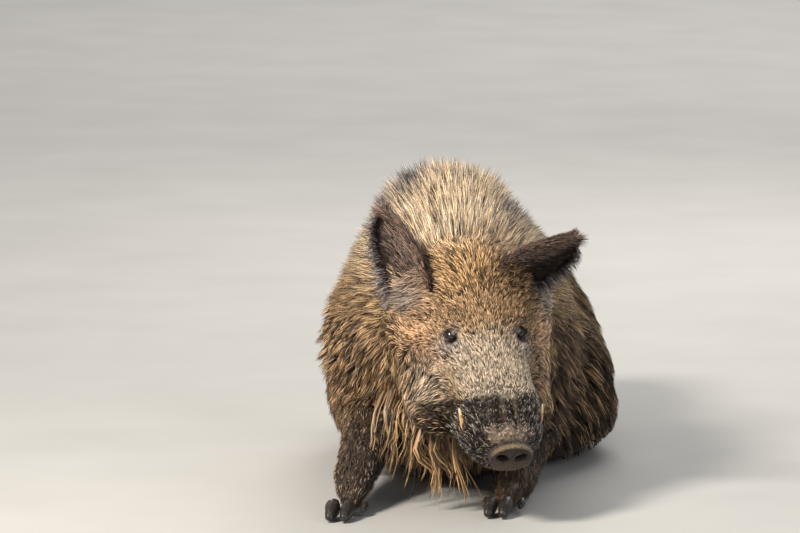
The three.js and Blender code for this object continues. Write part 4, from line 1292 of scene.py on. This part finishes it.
def ear_tufts(name, kind, count):
    """Paths, widths, markings and places of one kind of hair on an ear."""
    fringe, filled, dark = (EAR_LOOKS[name][k] for k in ("fringe", "filled", "dark"))
    wall = -1.0 if kind == "outer" else 1.0
    u = np.sqrt(rng.random(count)) * 0.98
    turn = rng.uniform(-EAR_TURN, EAR_TURN, count)
    if kind in ("long_edge", "short_edge"):
        edge = fringe if kind == "long_edge" else -fringe
        turn = edge * EAR_TURN * rng.uniform(0.84, 1.0, count)
        u = rng.uniform(0.0, 0.98, count)
    here, way, across, normal = sow_ear(name, u, turn, wall)
    marks = np.zeros((count, len(MARKS)))
    outward = across * fringe
    if kind == "outer":
        lean, length, lift = way, spread_of(count, 12, 30), spread_of(count, 0.15, 0.7)
        marks[:, GREY], marks[:, DARK_AND_SHADE] = 0.15, dark
    elif kind == "inner":
        # hair from the front edge fills the hollow, as far as the dark strip, whose hair is painted black as
        # painted shade in the hollow
        hairy = soft(turn * fringe, 0.35 - filled, -0.1 - filled)
        lean = unit(way + outward * col(rng.uniform(-0.1, 0.6, count)))
        length = mixed(20.0, 38.0, hairy) * spread_of(count, 0.6, 1.25)
        lift = mixed(0.2, 0.8, hairy) * spread_of(count, 0.6, 1.4)
        marks[:, DARK_AND_SHADE], marks[:, GREY], marks[:, RUST] = mixed(1.0, dark, hairy), 0.3, 0.15 * hairy
    elif kind == "long_edge":
        low = soft(u, 0.75, 0.1)
        lean = unit(way * col(0.8 - 0.5 * low) + outward * col(0.9 + 0.3 * low))
        length, lift = (32 + 12 * low) * spread_of(count, 0.5, 1.2), spread_of(count, -0.1, 0.5)
        marks[:, GREY], marks[:, CREAM] = 0.9, 0.3 * low
        marks[:, DARK_AND_SHADE] = (0.75 - 0.55 * low) * rng.random(count)
    else:
        lean = unit(way - outward * 0.35)
        length, lift = spread_of(count, 14, 34), spread_of(count, -0.4, 0.8)
        marks[:, GREY], marks[:, DARK_AND_SHADE], marks[:, RUST] = 0.15, 0.1, 0.15
    droop = 0.5 if kind == "long_edge" else 0.0
    path = curved(here, turned(lean, normal, rng.normal(0, 0.34, count)), normal, MM * length, lift, 2, droop)
    middle = 0.25 if wall < 0 else 0.75
    place = np.stack((turn / (2 * EAR_TURN) * 0.45 + middle, u * 0.9 + 0.04), axis=1)
    return path, normal, spread_of(count, 1.1, 1.9) * MM, marks, place


def build_ears():
    """The hair of both ears."""
    for name in EARS:
        sets = [ear_tufts(name, kind, count) for kind, count in EAR_TUFTS.items()]
        path, normal, width, marks, place = (np.concatenate(rows) for rows in zip(*sets))
        chance = rng.random(len(path))
        add_tufts("coat_" + name, path, width, chance, marks, place, EAR_HAIR, normal)


build_ears()


# ---------------------------------------------------------------- wet locks that hang from the jowl
# Where the locks leave the jowl and where they end, from the boar's right to its left.
LOCK_TOPS = MM * np.array(((-112, -300, 215), (-87, -315, 206), (-64, -335, 185), (-38, -355, 169),
                           (-5, -378, 149), (22, -390, 135), (53, -400, 121)))
LOCK_TIPS = MM * np.array(((-128, -385, 70), (-95, -390, 72), (-62, -385, 95), (-30, -400, 72),
                           (6, -420, 28), (43, -428, 22), (84, -428, 22)))
ROPES = 15
STRANDS = 11  # wound round each rope
LOOSE_HAIRS = 30
LOCK_STEPS = 13
LOCK_GAP = 0.003  # the least height of a lock above the floor


def along_row(row, t):
    """Points at shares t of the way along a row of places."""
    at = np.linspace(0, 1, len(row))
    return np.stack([np.interp(t, at, row[:, k]) for k in range(3)], axis=1)


def spline(before, a, b, after, f):
    """Points between a and b, at the share f, on a smooth curve through the stops before, a, b and after."""
    return 0.5 * (2 * a + (b - before) * f + (2 * before - 5 * a + 4 * b - after) * f**2
                  + (3 * a - before - 3 * b + after) * f**3)


def smooth_path(stops):
    """Curves of LOCK_STEPS points through stops, given as an array of (curves, stops, 3)."""
    last = stops.shape[1] - 1
    before, after = 2 * stops[:, :1] - stops[:, 1:2], 2 * stops[:, -1:] - stops[:, -2:-1]
    padded = np.concatenate((before, stops, after), axis=1)
    path = []
    for t in np.linspace(0, last, LOCK_STEPS):
        i = min(int(t), last - 1)
        path.append(spline(*(padded[:, i + k] for k in range(4)), t - i))
    return np.stack(path, axis=1)


def lock_guides(count, stray, gathering):
    """Curves that start in the hair of the snout's side, bend down over the jowl and hang."""
    t = np.clip((np.arange(count) + rng.uniform(-0.5, 0.5, count)) / (count - 1), 0, 1)
    # most of the hair gathers into a few locks
    gathered = mixed(t, np.round(t * 6) / 6 + 0.02 * np.sin(40 * t), gathering)
    top = along_row(LOCK_TOPS, t) + rng.normal(0, 0.005, (count, 3))
    tip = along_row(LOCK_TIPS, gathered) + rng.normal(0, stray, (count, 3)) * (1, 0.6, 1.6)
    aside = HEAD_SIDE * 0.6 - HEAD_BACK * 0.4 + HEAD_UP * 0.5
    reach = col(rng.uniform(0.2, 1.0, count))
    start = settle(top + aside * 0.060 * reach, -0.006)
    over = settle(top + aside * 0.028 * reach, 0.002)
    edge = settle(top, 0.007)
    bend = rng.normal(0, 0.008, (count, 3)) + np.array((-0.008, -0.014, 0.0))
    bent = mixed(edge, tip, 0.35) + bend
    low = mixed(edge, tip, 0.72) - 0.3 * bend
    return smooth_path(np.stack((start, over, edge, bent, low, tip), axis=1))


def hang_locks():
    """Ropes of wet, mud-caked hair, each a core with strands wound round it, and loose hairs among them."""
    guide = lock_guides(ROPES, 0.010, 0.8)
    t = np.linspace(0, 1, LOCK_STEPS)
    girth = rng.uniform(0.55, 1.35, ROPES)
    paths, widths, chances = [guide], [8.5 * girth], [spread_of(ROPES, 0.5, 1.0)]
    for _ in range(STRANDS):
        turn = rng.uniform(0, 2 * np.pi, ROPES)
        twist = col(turn) + 7.0 * t * col(rng.choice((-1, 1), ROPES))
        free = (rng.random(ROPES) < 0.25)[:, None, None]
        off = np.stack((np.cos(twist), np.sin(twist), 0 * twist), axis=2) * girth[:, None, None]
        off = off * (0.0036 * (1 - 0.6 * col(t)) + 0.012 * free * soft(col(t), 0.55, 1.0))
        reach = rng.uniform(0.78, 1.05, ROPES)[:, None, None]
        paths.append(guide[:, :1] + (guide - guide[:, :1]) * reach + off)
        widths.append(spread_of(ROPES, 1.4, 4.6) * girth)
        chances.append(rng.random(ROPES))
    paths.append(lock_guides(LOOSE_HAIRS, 0.016, 0.3))
    widths.append(spread_of(LOOSE_HAIRS, 0.8, 2.0))
    chances.append(rng.random(LOOSE_HAIRS))
    path = above_floor(np.concatenate(paths), LOCK_GAP)
    marks = np.zeros((len(path), len(MARKS)))
    marks[:, MUD] = rng.uniform(0.0, 0.9, len(path))
    marks[:, DARK_AND_SHADE] = 0.7 * (rng.random(len(path)) < 0.25)
    ahead = np.tile((0.0, -1.0, 0.0), (len(path), 1))
    add_tufts("wet_locks", path, MM * np.concatenate(widths), np.concatenate(chances), marks,
              unwrap(path[:, 0], "head"), LOCKS, ahead, flat=0.9, sides=5)


hang_locks()


# ---------------------------------------------------------------- eyes, tusks, disc and hooves
def closed_rows(points, rows, spokes, first=0):
    """Quads over rows of points round an axis, from the row first on, with both ends folded over."""
    quads = ring_quads(rows, spokes, first) + cap_quads(first, spokes) + cap_quads(rows - 1, spokes)
    return facing_out(points, np.array(quads))


TUSK_SIDES = 14
TUSK_STEPS = 22
TUSK_RADIUS = 0.0072
TUSK_FLATNESS = 0.8  # its thickness as a share of its width


def build_tusks():
    """Both lower tusks, which curve up out of the lip."""
    for s, name in zip(LEFT_AND_RIGHT, ("tusk_left", "tusk_right")):
        stops = np.array([on_head(s * 48, 88, -46), on_head(s * 64, 82, -26), on_head(s * 77, 86, 0),
                          on_head(s * 85, 114, 28)])
        t = np.linspace(0, 3, TUSK_STEPS)
        i = np.minimum(t.astype(int), 2)
        before, after = stops[np.maximum(i - 1, 0)], stops[np.minimum(i + 2, 3)]
        path = spline(before, stops[i], stops[i + 1], after, col(t - i))
        radii = TUSK_RADIUS * np.sqrt(np.maximum(1 - (t / 3) ** 1.3, 0.0)) + 0.0004
        tangent = unit(np.gradient(path, axis=0))
        across = unit(np.cross(tangent, HEAD_BACK))
        over = np.cross(tangent, across)
        turn = np.arange(TUSK_SIDES) / TUSK_SIDES * 2 * np.pi
        points = np.concatenate([
            p + r * (col(np.cos(turn)) * a + TUSK_FLATNESS * col(np.sin(turn)) * o)
            for p, r, a, o in zip(path, radii, across, over)
        ])
        along = np.repeat(np.linspace(0, 1, TUSK_STEPS), TUSK_SIDES)
        tusk = mesh_piece(name + "_ivory", points, closed_rows(points, TUSK_STEPS, TUSK_SIDES),
                          {"strand": strands(along)}, IVORY)
        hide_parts(name)


def build_eyes():
    """Both eyeballs, which bulge a little at the front. Their colours run with the angle from the axis."""
    rings, spokes = 26, 36
    angle = np.pi * (np.arange(rings + 1) + 0.15) / (rings + 0.3)
    turn = 2 * np.pi * np.arange(spokes) / spokes
    radius = EYE_RADIUS * (1 + 0.03 * bell(angle, 0.5))
    share = np.repeat(np.minimum(angle / 1.15, 1.0), spokes)
    for s, name in zip(LEFT_AND_RIGHT, ("eye_left", "eye_right")):
        centre, axis = eye_middle(s), eye_axis(s)
        across = unit(np.cross(axis, HEAD_UP))
        over = np.cross(axis, across)
        round_axis = col(np.cos(turn)) * across + col(np.sin(turn)) * over
        points = np.concatenate([centre + r * (math.cos(a) * axis + math.sin(a) * round_axis)
                                 for a, r in zip(angle, radius)])
        ball = mesh_piece(name + "_ball", points, closed_rows(points, rings + 1, spokes),
                          {"strand": strands(share)}, EYEBALL)
        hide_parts(name)


# The disc in millimetres: half its width and height, how far its rim is rolled back, the nostrils' depth, how
# far out and up they are, and half their width and height.
DISC = {"width": 44.0, "height": 35.0, "roll": 16.0}
NOSTRIL = {"deep": 15.0, "side": 18.5, "up": 2.5, "width": 12.0, "height": 8.4}
DISC_RIM = 0.9  # where the rim begins to roll back, as a share of the way out from the middle


def build_disc():
    """The snout's disc: a thick rolled rim round a shallow dished face with two deep nostrils."""
    rings, spokes = 46, 120
    t, turn = np.meshgrid(np.arange(rings + 1) / rings, 2 * np.pi * np.arange(spokes) / spokes, indexing="ij")
    t, turn = t.ravel(), turn.ravel()
    above = np.maximum(np.sin(turn), 0)
    # the outline is notched in the middle, below and above
    notch = 1 - 0.035 * bell(turn - 1.5 * np.pi, 0.22) - 0.02 * bell(turn - 0.5 * np.pi, 0.3)
    r = np.minimum(t / DISC_RIM, 1.0) * notch
    x, y = DISC["width"] * r * np.cos(turn), DISC["height"] * r * np.sin(turn)
    face = 1.2 * t**2 - 2.0 * bell(t - 0.86, 0.09) + 0.9 * np.sin(9 * turn) * t * (1 - t)
    face += 2.2 * bell(t - 0.62, 0.16) * above
    hole = np.zeros(len(t))
    for side in LEFT_AND_RIGHT:
        dx = x - side * NOSTRIL["side"]
        dy = y - NOSTRIL["up"] - 0.22 * side * dx
        d = np.hypot(dx / NOSTRIL["width"], dy / NOSTRIL["height"])
        hole = np.maximum(hole, 1 / (1 + np.exp(9 * (d - 0.86))))
        face -= 1.5 * bell(d - 1.35, 0.3)
    rolled = DISC["roll"] * (np.maximum(t - DISC_RIM, 0) / (1 - DISC_RIM)) ** 0.8
    depth = face + np.where(t > DISC_RIM, rolled, NOSTRIL["deep"] * hole) + 1.2
    # mud dries on the upper rim, and a little below
    rim = soft(t, 0.80, 0.88) * soft(t, 0.97, 0.92)
    upper = np.maximum(np.sin(turn) - 0.2, 0) / 0.8
    mud = np.minimum(1.0, rim * upper**0.6 + 0.35 * np.maximum(-np.sin(turn), 0) * t) * (1 - hole)
    points = on_head(col(x), col(depth), col(y))
    disc = mesh_piece("disc_of_snout", points, closed_rows(points, rings + 1, spokes, first=1),
                      {"strand": strands(hole, mud)}, DISC_SKIN)
    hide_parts("snout_disc")


def build_hooves():
    """The toes and dewclaws, with the edges of the part's solids rounded off."""
    for leg in LOWER_LEGS:
        for kind in ("toe_a", "toe_b", "dewclaw_a", "dewclaw_b"):
            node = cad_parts[f"{leg}_{kind}"]
            mesh = node.data.copy()
            hoof = bpy.data.objects.new(f"{leg}_{kind}_horn", mesh)
            bpy.context.scene.collection.objects.link(hoof)
            weld = hoof.modifiers.new("weld", "WELD")
            weld.merge_threshold = 0.0001
            edge = hoof.modifiers.new("edge", "BEVEL")
            edge.width = 0.0016
            edge.segments = 2
            round_off = hoof.modifiers.new("round", "SUBSURF")
            round_off.levels = round_off.render_levels = 1
            mesh.materials.clear()
            mesh.materials.append(HORN)
            mesh.polygons.foreach_set("use_smooth", np.full(len(mesh.polygons), True))
            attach(hoof, "root")
            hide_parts(f"{leg}_{kind}")


build_tusks()
build_eyes()
build_disc()
build_hooves()


# ---------------------------------------------------------------- floor, light and camera
def add_floor():
    """A wide pale floor under the part."""
    bpy.ops.mesh.primitive_plane_add(size=30, location=(0, 0, 0))
    floor = bpy.context.object
    floor.name = "floor"
    floor.data.materials.append(floor_material())


def aim(obj, at):
    """Turns a lamp to look at a place."""
    obj.rotation_euler = (Vector(at) - obj.location).to_track_quat("-Z", "Y").to_euler()


def add_light(name, at, look, size, power, colour):
    """A square lamp at a place, turned to look at another."""
    data = bpy.data.lights.new(name, "AREA")
    data.size = size
    data.energy = power
    data.color = colour
    lamp = bpy.data.objects.new(name, data)
    lamp.location = at
    bpy.context.scene.collection.objects.link(lamp)
    aim(lamp, look)


# Where the camera looks, from how many degrees to the boar's left and above, and from how many metres.
CAMERA = {"target": (-0.056, -0.400, 0.482), "turn": 7.5, "height": 8, "away": 12.0, "lens": 276}


def add_camera():
    """The camera, far away and with a long lens."""
    azimuth, elevation = math.radians(CAMERA["turn"]), math.radians(CAMERA["height"])
    back = Vector((math.cos(elevation) * math.sin(azimuth), -math.cos(elevation) * math.cos(azimuth),
                   math.sin(elevation)))
    data = bpy.data.cameras.new("camera")
    data.lens = CAMERA["lens"]
    data.sensor_width = 36
    data.clip_end = 60
    camera = bpy.data.objects.new("camera", data)
    camera.location = Vector(CAMERA["target"]) + CAMERA["away"] * back
    bpy.context.scene.collection.objects.link(camera)
    camera.rotation_euler = (-back).to_track_quat("-Z", "Y").to_euler()
    bpy.context.scene.camera = camera


add_floor()
add_light("key", (-2.3, -3.2, 3.6), (0.0, -0.2, 0.3), 1.1, 375, (1.0, 0.95, 0.87))
add_light("fill", (3.4, -3.2, 2.2), (0.0, -0.1, 0.3), 3.0, 58, (0.88, 0.93, 1.0))
add_light("rear", (0.6, 3.6, 3.0), (0.0, 0.4, 0.3), 2.5, 90, (1.0, 0.97, 0.92))
add_light("far_floor", (0.5, 9.0, 6.0), (0.5, 9.5, 0.0), 8.0, 560, (1.0, 0.98, 0.96))
world = bpy.data.worlds.new("studio")
world.use_nodes = True
sky = world.node_tree.nodes["Background"].inputs
sky["Color"].default_value = rgb(0xDDE3EA)
sky["Strength"].default_value = 0.34
bpy.context.scene.world = world
bpy.context.scene.view_settings.view_transform = "Standard"
add_camera()

bpy.context.view_layer.update()
